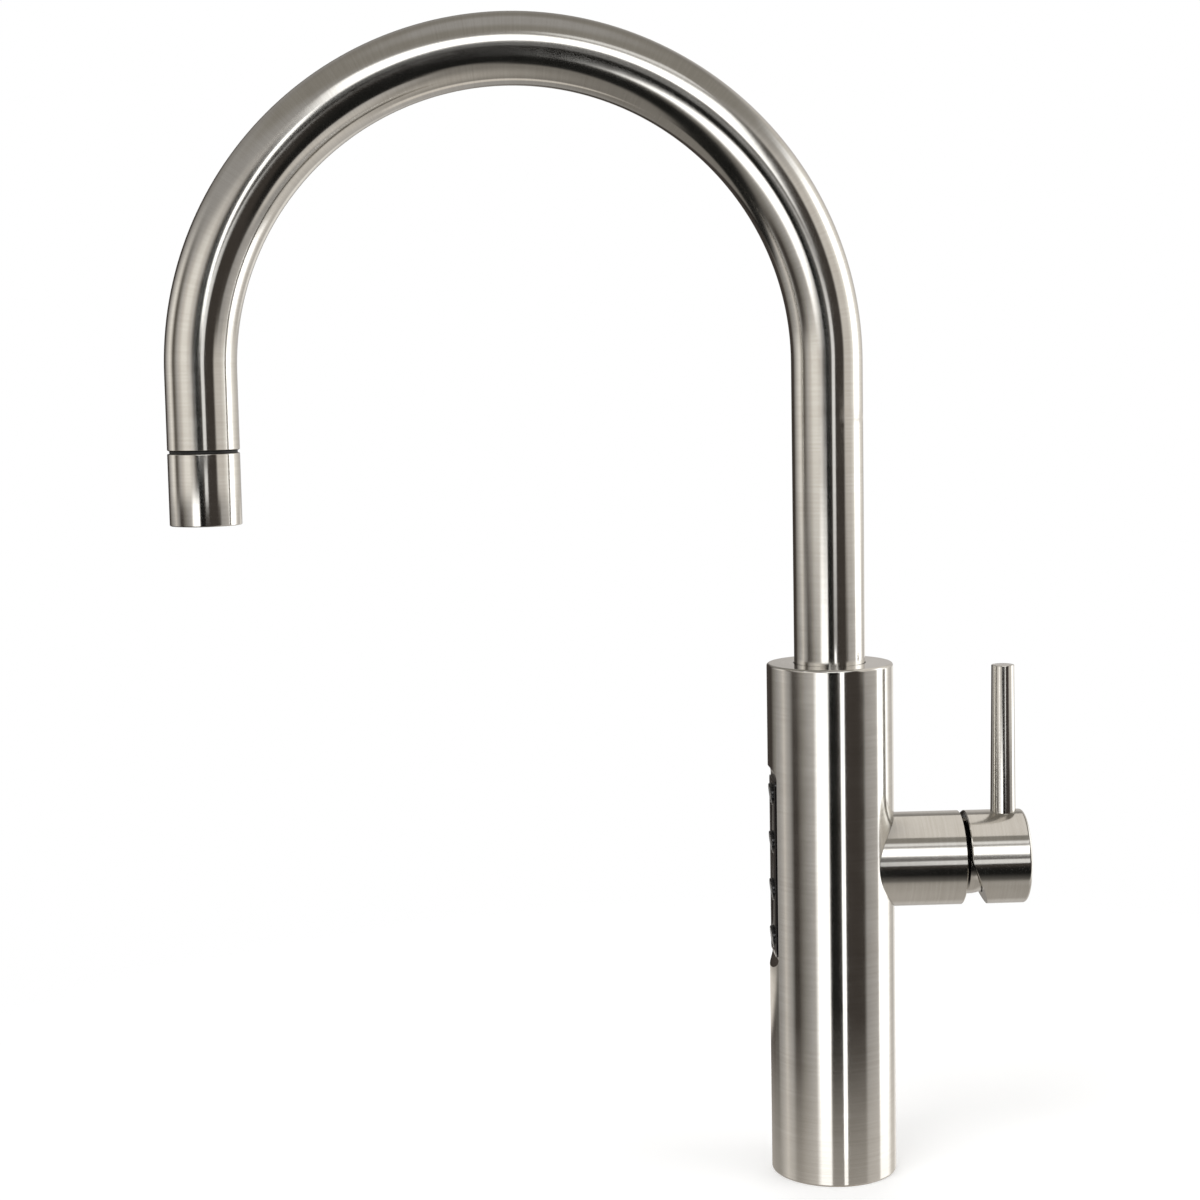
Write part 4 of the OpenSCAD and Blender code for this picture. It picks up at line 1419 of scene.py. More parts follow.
@dataclass
class Fixing:
    """What holds the tap to the worktop and brings the water, all below the worktop."""

    wardrobe: Wardrobe
    pitch: float = 1.5
    thread_depth: float = 0.75
    thread_steps: int = 64
    thread_gap: float = 2.5
    thread_start: float = 0.8
    # The thread over one pitch: how high it stands, and how far along it is
    tooth: tuple[Point, ...] = ((0, 0), (0, 0.12), (1, 0.44), (1, 0.56), (0, 0.88), (0, 1))
    tooth_weld: float = 0.004
    # The plain neck over the thread: its height, and that of the slope at each end of it
    neck_h: float = 0.4
    neck_slope: float = 0.6
    foot_edge: float = 0.4
    bore_r: float = 14.2
    flange_edge: float = 0.5
    nut_flats: float = 42.0
    nut_bore_r: float = 16.56
    nut_play: float = 0.06
    chamfer_deg: float = 28.0
    corner_wear: float = 0.06
    face_step: float = 0.25
    inlet_flats: float = 11.0
    inlet_bore_r: float = 4.45
    inlet_depth: float = 11.0
    way_r: float = 3.0
    mouth_edge: float = 0.4
    gland_hole_r: float = 1.3
    gland_neck_r: float = 2.2
    gland_lip_h: float = 1.3
    gland_rib: float = 0.35
    gland_ribs: int = 3

    def __post_init__(self) -> None:
        """Takes the fixing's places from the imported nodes."""
        self.shank = Extent.of("shank")
        self.nut_box = Extent.of("clamp_nut")
        self.gasket = Extent.of("base_gasket")
        self.gland = Extent.of("cable_gland")

    def ring_of(self, bm: Mesh, ring: list[Edge], r: float, z: float) -> list[Edge]:
        """Draws a ring of edges on to another radius and height.

        Args:
            bm: The mesh.
            ring: The edges to draw out.
            r: The new radius in millimetres.
            z: The new height in millimetres.

        Returns:
            The new ring.
        """
        made = bmesh.ops.extrude_edge_only(bm, edges=ring)["geom"]
        for vert in made:
            if isinstance(vert, Vert):
                vert.co.xy = vert.co.xy.normalized() * r * MM
                vert.co.z = z * MM
        return [g for g in made if isinstance(g, Edge)]

    def wind_thread(self, root: float, low: float, high: float) -> tuple[Mesh, list[list[Edge]]]:
        """Winds a thread round the lathe's axis and trims its ends level.

        Args:
            root: The thread's inner radius.
            low: The height of its lower end.
            high: The height of its upper end.

        Returns:
            The thread's mesh, and the rings of edges at its lower and upper end.
        """
        bm = bmesh.new()
        pitch = self.pitch
        turns = math.ceil((high - low) / pitch) + 2
        verts = []
        for stand, part in self.tooth:
            r = root + stand * self.thread_depth
            verts.append(bm.verts.new((r * MM, 0, (low - pitch + part * pitch) * MM)))
        for pair in zip(verts, verts[1:]):
            bm.edges.new(pair)
        bmesh.ops.spin(
            bm,
            geom=bm.verts[:] + bm.edges[:],
            cent=(0, 0, 0),
            axis=(0, 0, 1),
            dvec=(0, 0, pitch * MM / self.thread_steps),
            angle=math.tau * turns,
            steps=self.thread_steps * turns,
            use_merge=False,
        )
        bmesh.ops.remove_doubles(bm, verts=bm.verts[:], dist=self.tooth_weld * MM)
        rings = []
        for height, side in ((low, -1), (high, 1)):
            made = bmesh.ops.bisect_plane(
                bm,
                geom=bm.verts[:] + bm.edges[:] + bm.faces[:],
                plane_co=(0, 0, height * MM),
                plane_no=(0, 0, side),
                clear_outer=True,
            )["geom_cut"]
            rings.append([g for g in made if isinstance(g, Edge)])
        return bm, rings

    def threaded_shank(self) -> None:
        """Makes the shank: a thread whose ends are drawn out to its bore and its flange."""
        low, high = self.shank.low.z, self.shank.high.z
        outer, shelf = self.shank.size.x / 2, self.gasket.high.z
        e, f = self.flange_edge, self.foot_edge
        crest = self.nut_bore_r - self.nut_play
        root = crest - self.thread_depth
        thread_top = -self.thread_gap
        bm, (foot, top) = self.wind_thread(root, low + self.thread_start, thread_top)
        neck = thread_top + self.neck_slope
        neck_top = neck + self.neck_h
        lower = [(root, low + f), (root - f, low), (self.bore_r, low)]
        upper = [
            (root, neck),
            (root, neck_top),
            (crest, neck_top + self.neck_slope),
            (crest, shelf),
            (outer - e, shelf),
            (outer, shelf + e),
            (outer, high - e),
            (outer - e, high),
            (self.bore_r, high),
        ]
        for r, z in lower:
            foot = self.ring_of(bm, foot, r, z)
        for r, z in upper:
            top = self.ring_of(bm, top, r, z)
        bmesh.ops.bridge_loops(bm, edges=foot + top)
        along = bm.verts.layers.float.new("along")
        for vert in bm.verts:
            vert[along] = vert.co.z / MM
        bmesh.ops.recalc_face_normals(bm, faces=bm.faces[:])
        lay_brushing(bm)
        finish_piece(
            bm,
            "threaded_shank",
            self.wardrobe.metal(TURNED_BRASS, Grain.SURFACE),
            "column",
            ["shank"],
        )

    def flatted(self, across: float, sides: int, first_deg: float, bore: Sequence[Point]) -> Mesh:
        """Turns a bored ring with chamfered ends, and cuts its flats.

        Args:
            across: The distance across its flats.
            sides: How many flats it has.
            first_deg: Which way the first flat faces.
            bore: The bore's radii and heights, from the ring's lower end to its upper.

        Returns:
            The piece, closed, on the lathe.
        """
        low, high = bore[0][1], bore[-1][1]
        corner = across / 2 / math.cos(math.pi / sides) - self.corner_wear
        face = across / 2 - self.face_step
        drop = (corner - face) * math.tan(math.radians(self.chamfer_deg))
        outside = [(face, high), (corner, high - drop), (corner, low + drop), (face, low)]
        bm = turn([*bore, *outside], 96, closed=True)
        cut_flats(bm, across, sides, first_deg)
        return bm

    def nut(self) -> None:
        """Makes the clamp nut: turned, bored with a chamfered mouth, and cut to a hexagon."""
        low, high = self.nut_box.low.z, self.nut_box.high.z
        r, e = self.nut_bore_r, self.mouth_edge
        bore = [(r + e, low), (r, low + e), (r, high - e), (r + e, high)]
        finish_piece(
            self.flatted(self.nut_flats, 6, 30.0, bore),
            "hexagon_nut",
            self.wardrobe.metal(TURNED_BRASS, Grain.UP),
            "clamp",
            ["clamp_nut"],
            sharp_deg=20,
        )

    def inlet(self, node: str) -> None:
        """Makes one inlet: turned, bored for its hose's thread, and cut to an octagon.

        Args:
            node: The inlet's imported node.
        """
        size = Extent.of(node)
        low, high = size.low.z, size.high.z
        r, e, bottom = self.inlet_bore_r, self.mouth_edge, low + self.inlet_depth
        bore = [(r + e, low), (r, low + e), (r, bottom), (self.way_r, bottom), (self.way_r, high)]
        finish_piece(
            self.flatted(self.inlet_flats, 8, 0.0, bore),
            node + "_body",
            self.wardrobe.metal(TURNED_BRASS, Grain.FREE),
            "column",
            [node],
            shift(*size.middle.xy),
            sharp_deg=20,
        )

    def ribbed_gland(self) -> None:
        """Turns the cable gland of rubber, with ribs above its lower lip."""
        size = self.gland
        low, high, lip = size.low.z, size.high.z, size.size.x / 2
        hole, neck, lip_h = self.gland_hole_r, self.gland_neck_r, self.gland_lip_h
        groove = neck - self.gland_rib
        corners = [(hole, high, 0), (hole, low, 0.2), (lip, low, 0.4), (lip, low + lip_h, 0.3)]
        step = (high - low - 2 * lip_h) / self.gland_ribs
        for i in range(self.gland_ribs):
            start = low + lip_h + step * i
            half = start + step / 2
            corners += [(groove, start, 0.1), (groove, half, 0.05)]
            corners += [(neck, half, 0.1), (neck, start + step, 0.1)]
        corners += [(lip, high - lip_h, 0.3), (lip, high, 0.4), (hole, high, 0)]
        finish_piece(
            turn(rounded(corners, 3), 48),
            "ribbed_gland",
            self.wardrobe.moulded(RUBBER),
            "column",
            ["cable_gland"],
            shift(*size.middle.xy),
        )

    def build(self) -> None:
        """Builds the fixing's pieces and dresses its other nodes."""
        self.threaded_shank()
        self.nut()
        for node in ("hot_inlet", "cold_inlet", "boiling_inlet", "chilled_inlet"):
            self.inlet(node)
        self.ribbed_gland()
        wear = self.wardrobe
        wear.dress(wear.metal(DRAWN_STEEL, Grain.UP), "clamp_washer")
        wear.dress(wear.moulded(RUBBER), "clamp_seal")


# Studio


class Tone(Enum):
    """The tones of the studio's cards."""

    BLACK = "#0d0d0c"
    DARK = "#2d2926"
    SMOKE = "#48443f"
    DIM = "#67645f"
    SHADE = "#5e5b57"
    GREY = "#767472"
    MIDDLE = "#8b8885"
    SAND = "#9f9b96"
    STONE = "#a8a49f"
    PALE = "#b9b6b1"
    WHITE = "#ffffff"

    @property
    def colour(self) -> Colour:
        """The tone as a linear colour."""
        return linear(self.value)


@dataclass(frozen=True)
class Card:
    """One tone of the studio, and the angle at which it is reached, in degrees."""

    angle: float
    tone: Tone


@dataclass(frozen=True)
class Ray:
    """The way that a mirrored ray goes, as sockets of the world's tree.

    The azimuth and the rise are in degrees, and the azimuth is 0 behind the camera and 90
    beyond the valve. Around is the same azimuth as a share of the full turn.
    """

    x: Socket
    y: Socket
    azimuth: Socket
    rise: Socket
    around: Socket


@dataclass(frozen=True)
class MirroredRoom:
    """The dark and light cards that the steel mirrors, painted by the way a ray goes.

    Angles are in degrees. A pair says where an edge starts and ends, and a triple says a
    band's two sides and how soft they are.
    """

    # Cards that stand all round, by azimuth
    ring: tuple[Card, ...] = (
        Card(-180, Tone.SHADE),
        Card(-175, Tone.DARK),
        Card(-143, Tone.DARK),
        Card(-132, Tone.SHADE),
        Card(-118, Tone.GREY),
        Card(-107, Tone.MIDDLE),
        Card(-102, Tone.SAND),
        Card(-96, Tone.MIDDLE),
        Card(-87, Tone.GREY),
        Card(-79, Tone.DARK),
        Card(-71, Tone.DARK),
        Card(-60, Tone.SHADE),
        Card(-48, Tone.GREY),
        Card(-38, Tone.MIDDLE),
        Card(-30, Tone.WHITE),
        Card(-12, Tone.WHITE),
        Card(-10, Tone.DARK),
        Card(-7, Tone.BLACK),
        Card(2, Tone.BLACK),
        Card(10, Tone.DARK),
        Card(54, Tone.DARK),
        Card(60, Tone.GREY),
        Card(86, Tone.MIDDLE),
        Card(90, Tone.WHITE),
        Card(112, Tone.WHITE),
        Card(126, Tone.SAND),
        Card(141, Tone.MIDDLE),
        Card(154, Tone.PALE),
        Card(170, Tone.MIDDLE),
        Card(180, Tone.SHADE),
    )
    # The same round the spout's tube, which looks over the tops of the lower cards
    upper_ring: tuple[Card, ...] = (
        Card(-180, Tone.SHADE),
        Card(-172, Tone.DARK),
        Card(-143, Tone.DARK),
        Card(-124, Tone.MIDDLE),
        Card(-106, Tone.PALE),
        Card(-99, Tone.SAND),
        Card(-91, Tone.SMOKE),
        Card(-85, Tone.SMOKE),
        Card(-73, Tone.MIDDLE),
        Card(-63, Tone.SAND),
        Card(-53, Tone.PALE),
        Card(-40, Tone.PALE),
        Card(-32, Tone.SAND),
        Card(-25, Tone.MIDDLE),
        Card(-19, Tone.SMOKE),
        Card(-15, Tone.BLACK),
        Card(0, Tone.BLACK),
        Card(6, Tone.DARK),
        Card(46, Tone.DARK),
        Card(52, Tone.SAND),
        Card(72, Tone.SAND),
        Card(84, Tone.PALE),
        Card(91, Tone.WHITE),
        Card(110, Tone.WHITE),
        Card(124, Tone.PALE),
        Card(140, Tone.SAND),
        Card(156, Tone.MIDDLE),
        Card(172, Tone.MIDDLE),
        Card(180, Tone.SHADE),
    )
    # The ground beyond the worktop, by azimuth
    ground: tuple[Card, ...] = (
        Card(-180, Tone.GREY),
        Card(-155, Tone.SHADE),
        Card(18, Tone.SHADE),
        Card(36, Tone.MIDDLE),
        Card(60, Tone.SAND),
        Card(74, Tone.GREY),
        Card(90, Tone.GREY),
        Card(106, Tone.SAND),
        Card(150, Tone.MIDDLE),
        Card(180, Tone.GREY),
    )
    # The ceiling, by elevation
    ceiling: tuple[Card, ...] = (
        Card(0, Tone.GREY),
        Card(36, Tone.GREY),
        Card(47, Tone.DIM),
        Card(62, Tone.DIM),
        Card(76, Tone.GREY),
        Card(90, Tone.GREY),
    )
    # The dark arc before the tap: azimuth, its top and its foot
    arc: tuple[Corner, ...] = (
        (-160, -22, -22),
        (-130, -15, -26),
        (-100, -26, -55),
        (-60, -33, -58),
        (-30, -35, -60),
        (-12, -30, -59),
        (0, -14, -57),
        (11, -12, -46),
        (22, -21, -51),
        (40, -21, -43),
        (52, -22, -32),
        (62, -26, -26),
    )
    upper_edge: Point = (-6.5, -3)
    back_edge: Point = (0.2, 0.6)
    back_shade: float = 0.6
    # The cards stand higher on the valve's side than on the spout's
    side_edge: Point = (-0.1, 0.5)
    side_lift: float = -14.0
    wall_top: Point = (10, 30)
    wall_foot: Point = (-31, -24)
    near_foot: Point = (-66, -50)
    arc_top: Point = (-4, 3)
    arc_foot: Point = (-3, 4)
    arc_ends: Corner = (-150, 58, 12)
    # The soft box over the camera: how its sides lean, its edges, and the notch in its foot
    box_lean: Point = (0.68, -0.79)
    box_left: Point = (-3, 1)
    box_right: Point = (8, 12)
    box_foot: Point = (0, 3)
    box_top: Point = (31, 38)
    notch_at: Point = (5, 7)
    notch_half: Point = (12, 11)
    notch_edge: Point = (0.8, 1.15)
    notch_depth: float = 0.93
    # The foot of the soft box's stand and the beam over it: how wide, how tall, how bright
    stand_wide: Corner = (8, 18, 2)
    stand_tall: Corner = (-6, 4, 2)
    stand_light: float = 0.5
    beam_wide: Corner = (6, 40, 4)
    beam_tall: Corner = (40, 47, 4)
    beam_light: float = 0.4

    def look(self, sums: Maths) -> Ray:
        """Finds the way that a ray goes.

        Args:
            sums: Arithmetic in the world's tree.

        Returns:
            The ray.
        """
        way = add_node(sums.tree, "TexCoord").outputs["Generated"]
        x, y, z = add_node(sums.tree, "SeparateXYZ", links={0: way}).outputs[:3]
        degrees = math.degrees(1)
        side = sums.do("ARCTAN2", x, sums.do("MULTIPLY", y, -1.0))
        azimuth = sums.do("MULTIPLY", side, degrees)
        rise = sums.do("MULTIPLY", sums.do("ARCSINE", z), degrees)
        return Ray(x, y, azimuth, rise, sums.do("MULTIPLY_ADD", azimuth, 1 / 360, 0.5))

    def paint_round(self, sums: Maths, cards: Sequence[Card], ray: Ray) -> Socket:
        """Paints cards that stand side by side all round the tap.

        Args:
            sums: Arithmetic in the world's tree.
            cards: The cards, by azimuth.
            ray: The way that the ray goes.

        Returns:
            Their colour where the ray meets them.
        """
        stops = [((card.angle + 180) / 360, card.tone.colour) for card in cards]
        return ramp(sums.tree, stops, ray.around)

    def walls(self, sums: Maths, ray: Ray) -> Socket:
        """Paints the two rings of cards, with the ceiling over them and the ground below.

        Args:
            sums: Arithmetic in the world's tree.
            ray: The way that the ray goes.

        Returns:
            The colour that comes back.
        """
        shade = Tone.SHADE.colour
        lower = self.paint_round(sums, self.ring, ray)
        upper = self.paint_round(sums, self.upper_ring, ray)
        ring = sums.blend(sums.step(ray.rise, *self.upper_edge), lower, upper)
        stops = [(card.angle / 90, card.tone.colour) for card in self.ceiling]
        up = ramp(sums.tree, stops, sums.do("MULTIPLY", ray.rise, 1 / 90))
        behind = sums.do("MULTIPLY", sums.step(ray.y, *self.back_edge), self.back_shade)
        up = sums.blend(behind, up, shade)
        valve_side = sums.step(ray.x, *self.side_edge)
        top = sums.do("MULTIPLY_ADD", valve_side, self.side_lift, ray.rise)
        walls = sums.blend(sums.fall(top, *self.wall_top), up, ring)
        ground = self.paint_round(sums, self.ground, ray)
        ground = sums.blend(sums.fall(ray.rise, *self.near_foot), ground, shade)
        return sums.blend(sums.step(ray.rise, *self.wall_foot), ground, walls)

    def above_arc(self, sums: Maths, ray: Ray, part: int) -> Socket:
        """Measures how far above one side of the dark arc a ray goes.

        Args:
            sums: Arithmetic in the world's tree.
            ray: The way that the ray goes.
            part: Which side: 1 is the arc's top and 2 its foot.

        Returns:
            The angle above it.
        """
        stops = []
        for stop in self.arc:
            height = (stop[part] + 90) / 90
            stops.append(((stop[0] + 180) / 360, (height, height, height, 1.0)))
        side = sums.do("MULTIPLY_ADD", ramp(sums.tree, stops, ray.around), 90.0, -90.0)
        return sums.do("SUBTRACT", ray.rise, side)

    def dark_arc(self, sums: Maths, ray: Ray) -> Socket:
        """Draws the dark arc before the tap.

        Args:
            sums: Arithmetic in the world's tree.
            ray: The way that the ray goes.

        Returns:
            How much of it the ray meets, from 0 to 1.
        """
        under = sums.fall(self.above_arc(sums, ray, 1), *self.arc_top)
        over = sums.step(self.above_arc(sums, ray, 2), *self.arc_foot)
        inside = sums.do("MULTIPLY", under, over)
        return sums.do("MULTIPLY", inside, sums.band(ray.azimuth, *self.arc_ends))

    def soft_box(self, sums: Maths, ray: Ray) -> Socket:
        """Draws the soft box over the camera, wider at its top, with a notch in its foot.

        Args:
            sums: Arithmetic in the world's tree.
            ray: The way that the ray goes.

        Returns:
            How bright it is, from 0 to 1.
        """
        off_left, off_right = (
            sums.do("MULTIPLY_ADD", ray.rise, lean, ray.azimuth) for lean in self.box_lean
        )
        left, right = sums.step(off_left, *self.box_left), sums.fall(off_right, *self.box_right)
        foot, top = sums.step(ray.rise, *self.box_foot), sums.fall(ray.rise, *self.box_top)
        box = sums.do("MULTIPLY", sums.do("MULTIPLY", left, right), sums.do("MULTIPLY", foot, top))
        off_x, off_z = (
            sums.do("MULTIPLY_ADD", angle, 1 / half, -at / half)
            for angle, at, half in zip((ray.azimuth, ray.rise), self.notch_at, self.notch_half)
        )
        spot = add_node(sums.tree, "CombineXYZ", links={0: off_x, 1: off_z})
        away = add_node(sums.tree, "VectorMath", {"operation": "LENGTH"}, {0: spot.outputs[0]})
        near = sums.fall(away.outputs["Value"], *self.notch_edge)
        notch = sums.do("MULTIPLY", near, self.notch_depth)
        return sums.do("MULTIPLY", box, sums.do("SUBTRACT", 1.0, notch))

    def stand(self, sums: Maths, ray: Ray) -> Socket:
        """Draws the foot of the soft box's stand and the beam over it.

        Args:
            sums: Arithmetic in the world's tree.
            ray: The way that the ray goes.

        Returns:
            How bright they are, from 0 to 1.
        """
        lights = []
        for wide, tall, light in (
            (self.stand_wide, self.stand_tall, self.stand_light),
            (self.beam_wide, self.beam_tall, self.beam_light),
        ):
            across, upright = sums.band(ray.azimuth, *wide), sums.band(ray.rise, *tall)
            lights.append(sums.do("MULTIPLY", sums.do("MULTIPLY", across, upright), light))
        return sums.do("MAXIMUM", *lights)

    def colour(self, tree: Tree) -> Socket:
        """Puts the cards together.

        Args:
            tree: The world's tree.

        Returns:
            The colour that a mirrored ray brings back.
        """
        sums = Maths(tree)
        ray = self.look(sums)
        walls = self.walls(sums, ray)
        mirrored = sums.blend(self.dark_arc(sums, ray), walls, Tone.BLACK.colour)
        lamp = sums.do("MAXIMUM", self.soft_box(sums, ray), self.stand(sums, ray))
        return sums.blend(lamp, mirrored, Tone.WHITE.colour)


@dataclass(frozen=True)
class PaleWorktop:
    """Matt pale worktop that keeps the tap's shadow and fades out round it.

    The steel sees it only close to the foot and behind the tap, as a pale veil over the
    cards. A pair of distances in metres says where an edge starts and ends.
    """

    name: str = "pale_worktop"
    shade: str = "#e8e8e8"
    glow: float = 0.27
    veil: str = "#f6efe6"
    fade: Point = (0.2, 0.5)
    foot: Point = (0.0, 0.26)
    foot_share: float = 0.45
    rear_start: Point = (0.16, 0.22)
    rear_end: Point = (0.3, 0.36)
    rear_side: Point = (0.02, 0.045)
    rear_share: float = 0.9

    def material(self) -> Material:
        """Makes the material.

        Returns:
            The material.
        """
        material, tree = empty_material(self.name)
        sums = Maths(tree)
        matt = add_node(tree, "BsdfDiffuse", {"Color": linear(self.shade)})
        glow = add_node(tree, "Emission", {"Color": Tone.WHITE.colour, "Strength": self.glow})
        lit = add_node(tree, "AddShader", links={0: matt.outputs[0], 1: glow.outputs[0]})
        veil = add_node(tree, "Emission", {"Color": linear(self.veil), "Strength": 1.0})
        clear = add_node(tree, "BsdfTransparent").outputs[0]
        place = add_node(tree, "TexCoord").outputs["Object"]
        reach = add_node(tree, "VectorMath", {"operation": "LENGTH"}, {0: place}).outputs["Value"]
        seen = mix_shaders(tree, sums.step(reach, *self.fade), lit.outputs[0], clear)
        near_foot = sums.do("MULTIPLY", sums.fall(reach, *self.foot), self.foot_share)
        x, y = add_node(tree, "SeparateXYZ", links={0: place}).outputs[:2]
        behind, within = sums.step(y, *self.rear_start), sums.fall(reach, *self.rear_end)
        rear = sums.do("MULTIPLY", behind, within)
        rear = sums.do("MULTIPLY", rear, sums.fall(x, *self.rear_side))
        share = sums.do("MAXIMUM", near_foot, sums.do("MULTIPLY", rear, self.rear_share))
        veiled = mix_shaders(tree, share, clear, veil.outputs[0])
        mirrored = add_node(tree, "LightPath").outputs["Is Glossy Ray"]
        above = mix_shaders(tree, mirrored, seen, veiled)
        under = add_node(tree, "NewGeometry").outputs["Backfacing"]
        shown = mix_shaders(tree, under, above, clear)
        add_node(tree, "OutputMaterial", links={"Surface": shown})
        return material


@dataclass(frozen=True)
class NearCard:
    """A glowing card close to the tap, by its corners in millimetres, in order."""

    name: str
    corners: tuple[Corner, ...]
    tone: Tone = Tone.WHITE


@dataclass(frozen=True)
class Lamp:
    """A soft square lamp that faces the tap: its place and sizes in metres, and its power."""

    name: str
    place: Corner
    watts: float
    size_m: float = 1.6
    aim_z: float = 0.2


@dataclass
class Studio:
    """Camera, floor, lamps and the cards that hang close to the tap."""

    eye_mm: Corner = (-122.739, -888.924, 321.906)
    yaw_deg: float = 2.065
    pitch_deg: float = 5.711
    roll_deg: float = -1.103
    focal_px: float = 2265.943
    frame_px: float = 1200.0
    sensor_mm: float = 36.0
    clip_m: Point = (0.01, 50.0)
    card_light: float = 2.3
    room_light: float = 0.6
    room_tint: str = "#fbfaf8"
    floor_m: float = 3.0
    # The strip that the arch's left shoulder mirrors: how far round the bend it reaches,
    # and how far the tube's normal leans outwards there from the line of sight
    shoulder_y: float = -160.0
    shoulder_steps: int = 8
    shoulder_deg: Point = (129.0, 172.0)
    lean_deg: Point = (10.3, 0.5)
    lean_half_deg: float = 2.2
    near_cards: tuple[NearCard, ...] = (
        NearCard(
            "column_strip_card",
            ((7.8, -60, -20), (13.8, -60, -20), (13.6, -60, 206), (7.6, -60, 206)),
        ),
        NearCard(
            "valve_top_card",
            ((50, -101, 300), (130, -101, 300), (130, 166, 300), (50, 166, 300)),
            Tone.STONE,
        ),
    )
    lamps: tuple[Lamp, ...] = (
        Lamp("key_lamp", (-1.2, -1.4, 2.2), 26.0),
        Lamp("fill_lamp", (1.6, -0.6, 1.6), 12.0),
        Lamp("back_lamp", (0.2, 1.8, 1.9), 12.0),
    )

    def camera(self) -> None:
        """Stands the camera where the photograph was taken from."""
        yaw, pitch, roll = (math.radians(a) for a in (self.yaw_deg, self.pitch_deg, self.roll_deg))
        ahead = Vector(
            (math.sin(yaw) * math.cos(pitch), math.cos(yaw) * math.cos(pitch), -math.sin(pitch))
        )
        level = Vector((math.cos(yaw), -math.sin(yaw), 0))
        up = level.cross(ahead)
        right = level * math.cos(roll) + up * math.sin(roll)
        top = up * math.cos(roll) - level * math.sin(roll)
        data = bpy.data.cameras.new("camera")
        data.sensor_width = self.sensor_mm
        data.lens = self.focal_px * self.sensor_mm / self.frame_px
        data.clip_start, data.clip_end = self.clip_m
        camera = bpy.data.objects.new("camera", data)
        turned = Matrix((right, top, -ahead)).transposed().to_4x4()
        camera.matrix_world = shift(*self.eye_mm) @ turned
        bpy.context.scene.collection.objects.link(camera)
        bpy.context.scene.camera = camera

    def world(self) -> None:
        """Makes the room: white for the camera, cards for the steel, soft light for the rest."""
        world = bpy.data.worlds.new("studio")
        bpy.context.scene.world = world
        world.use_nodes = True
        tree = world.node_tree
        tree.nodes.clear()
        light, cards = {"Strength": self.card_light}, {"Color": MirroredRoom().colour(tree)}
        mirrored = add_node(tree, "Background", light, cards)
        tint = {"Color": linear(self.room_tint), "Strength": self.room_light}
        soft = add_node(tree, "Background", tint)
        seen = add_node(tree, "Background", {"Color": Tone.WHITE.colour, "Strength": 1.0})
        ray = add_node(tree, "LightPath").outputs
        lit = mix_shaders(tree, ray["Is Glossy Ray"], soft.outputs[0], mirrored.outputs[0])
        clear = Maths(tree).do("MAXIMUM", ray["Is Camera Ray"], ray["Is Transmission Ray"])
        shown = mix_shaders(tree, clear, lit, seen.outputs[0])
        add_node(tree, "OutputWorld", links={"Surface": shown})

    def sheet(
        self, name: str, corners: Sequence[Corner], material: Material
    ) -> bpy.types.Object:
        """Hangs a flat sheet that belongs to the studio.

        Args:
            name: The sheet's name.
            corners: Its corners in metres, in order.
            material: What it is made of.

        Returns:
            The sheet.
        """
        bm = bmesh.new()
        bm.faces.new([bm.verts.new(c) for c in corners])
        mesh = bpy.data.meshes.new(name)
        bm.to_mesh(mesh)
        bm.free()
        mesh.materials.append(material)
        sheet = bpy.data.objects.new(name, mesh)
        bpy.context.scene.collection.objects.link(sheet)
        return sheet

    def hang_card(self, card: NearCard) -> None:
        """Hangs a glowing card, which only the steel sees.

        Args:
            card: The card.
        """
        material, tree = empty_material(card.name)
        light = {"Color": card.tone.colour, "Strength": self.card_light}
        glow = add_node(tree, "Emission", light)
        add_node(tree, "OutputMaterial", links={"Surface": glow.outputs[0]})
        corners = [tuple(v * MM for v in corner) for corner in card.corners]
        sheet = self.sheet(card.name, corners, material)
        sheet.visible_camera = False
        sheet.visible_diffuse = False
        sheet.visible_transmission = False
        sheet.visible_shadow = False

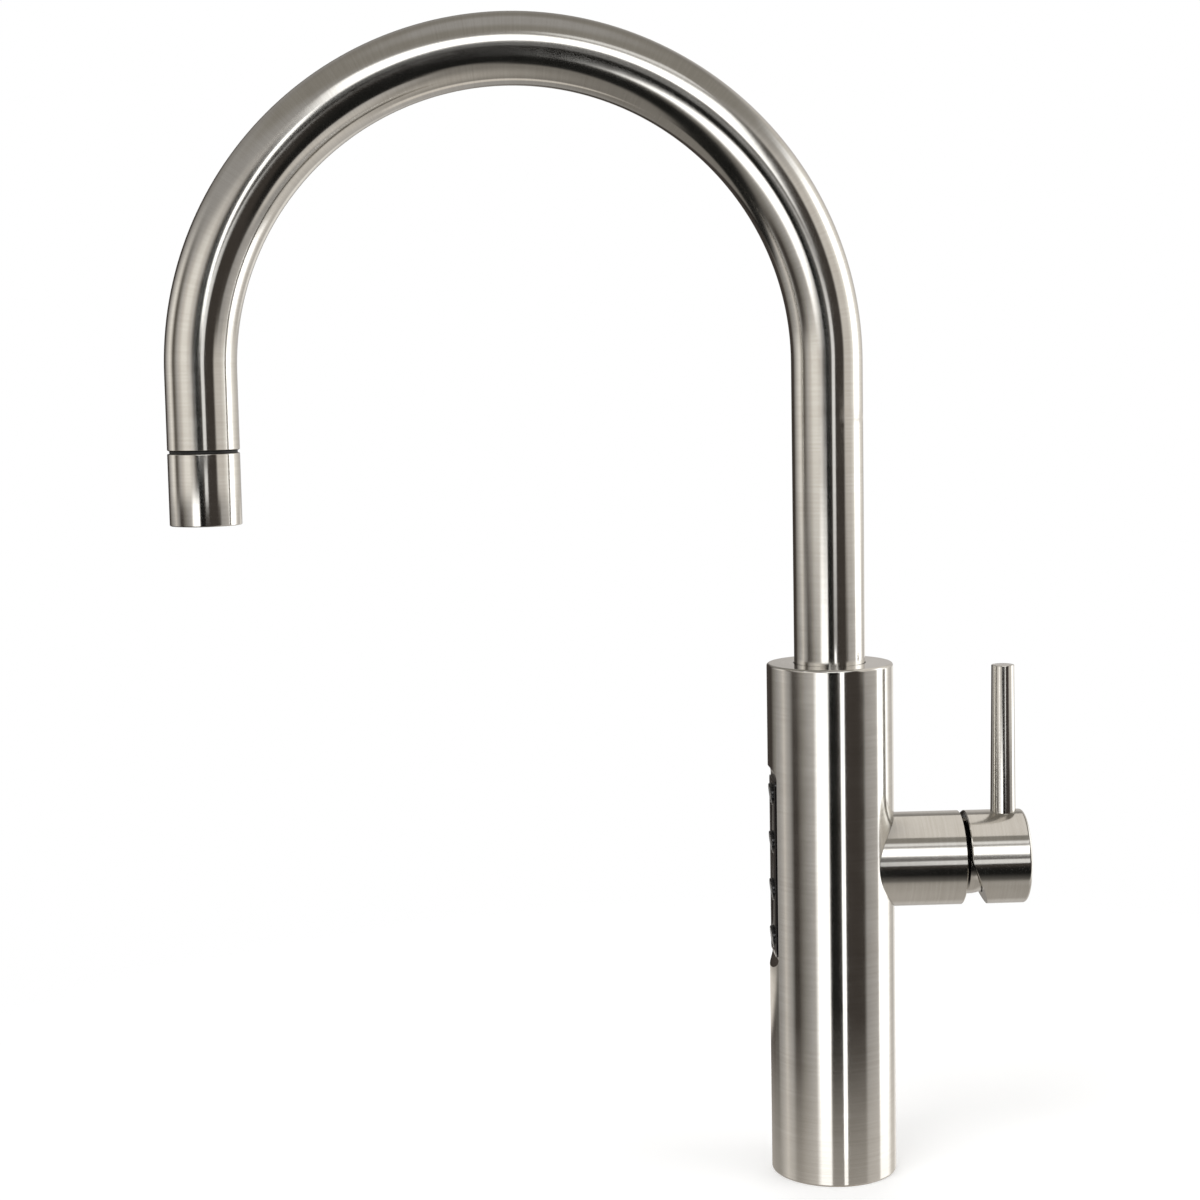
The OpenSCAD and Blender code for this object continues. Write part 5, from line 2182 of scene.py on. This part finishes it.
    def shoulder_card(self) -> NearCard:
        """Shapes the white strip that the arch's left shoulder mirrors to the camera.

        The strip's edges are found from the eye: at each step round the bend the tube's
        normal leans a little outwards from the line of sight, and sends that line on.

        Returns:
            The card.
        """
        eye = Vector(self.eye_mm)
        tube = Extent.of("spout_tube")
        tube_r = tube.size.y / 2
        bend_r = -Extent.of("nozzle_sleeve").middle.x / 2
        centre = Vector((-bend_r, 0, tube.high.z - tube_r - bend_r))
        edges = []
        for side in (-1, 1):
            edge = []
            for i in range(self.shoulder_steps + 1):
                share = i / self.shoulder_steps
                bend, lean = (
                    start * (1 - share) + end * share
                    for start, end in (self.shoulder_deg, self.lean_deg)
                )
                bend = math.radians(bend)
                out = Vector((math.cos(bend), 0, math.sin(bend)))
                axis = centre + out * bend_r
                sight = (eye - axis).normalized()
                tilt = math.atan2(sight.dot(out), -sight.y)
                tilt += math.radians(lean + side * self.lean_half_deg)
                normal = out * math.sin(tilt) - Vector((0, math.cos(tilt), 0))
                spot = axis + normal * tube_r
                sight = (eye - spot).normalized()
                sent = 2 * normal.dot(sight) * normal - sight
                edge.append(tuple(spot + sent * ((self.shoulder_y - spot.y) / sent.y)))
            edges.append(edge)
        return NearCard("shoulder_strip_card", (*edges[0], *edges[1][::-1]))

    def floor(self) -> None:
        """Lays the pale floor round the column's foot."""
        half = self.floor_m / 2
        corners = [(-half, -half, 0), (half, -half, 0), (half, half, 0), (-half, half, 0)]
        self.sheet("floor", corners, PaleWorktop().material())

    def hang_lamp(self, lamp: Lamp) -> None:
        """Hangs one soft lamp, which the steel doesn't mirror.

        Args:
            lamp: The lamp.
        """
        data = bpy.data.lights.new(lamp.name, "AREA")
        data.size = lamp.size_m
        data.energy = lamp.watts
        light = bpy.data.objects.new(lamp.name, data)
        light.location = lamp.place
        aim = Vector((0, 0, lamp.aim_z)) - Vector(lamp.place)
        light.rotation_euler = aim.to_track_quat("-Z", "Y").to_euler()
        light.visible_glossy = False
        bpy.context.scene.collection.objects.link(light)

    def build(self) -> None:
        """Sets up the studio."""
        bpy.context.scene.view_settings.view_transform = "Standard"
        self.camera()
        self.world()
        self.floor()
        for card in (*self.near_cards, self.shoulder_card()):
            self.hang_card(card)
        for lamp in self.lamps:
            self.hang_lamp(lamp)
        log.info("studio set up")


def main() -> None:
    """Sets up the studio and dresses each sub-assembly of the tap."""
    logging.basicConfig(level=logging.INFO, format="%(name)s: %(message)s")
    wardrobe = Wardrobe()
    Studio().build()
    for assembly in (Column, SwanNeck, LeverHandle, Keypad, Fixing):
        assembly(wardrobe).build()


if __name__ == "__main__":
    main()
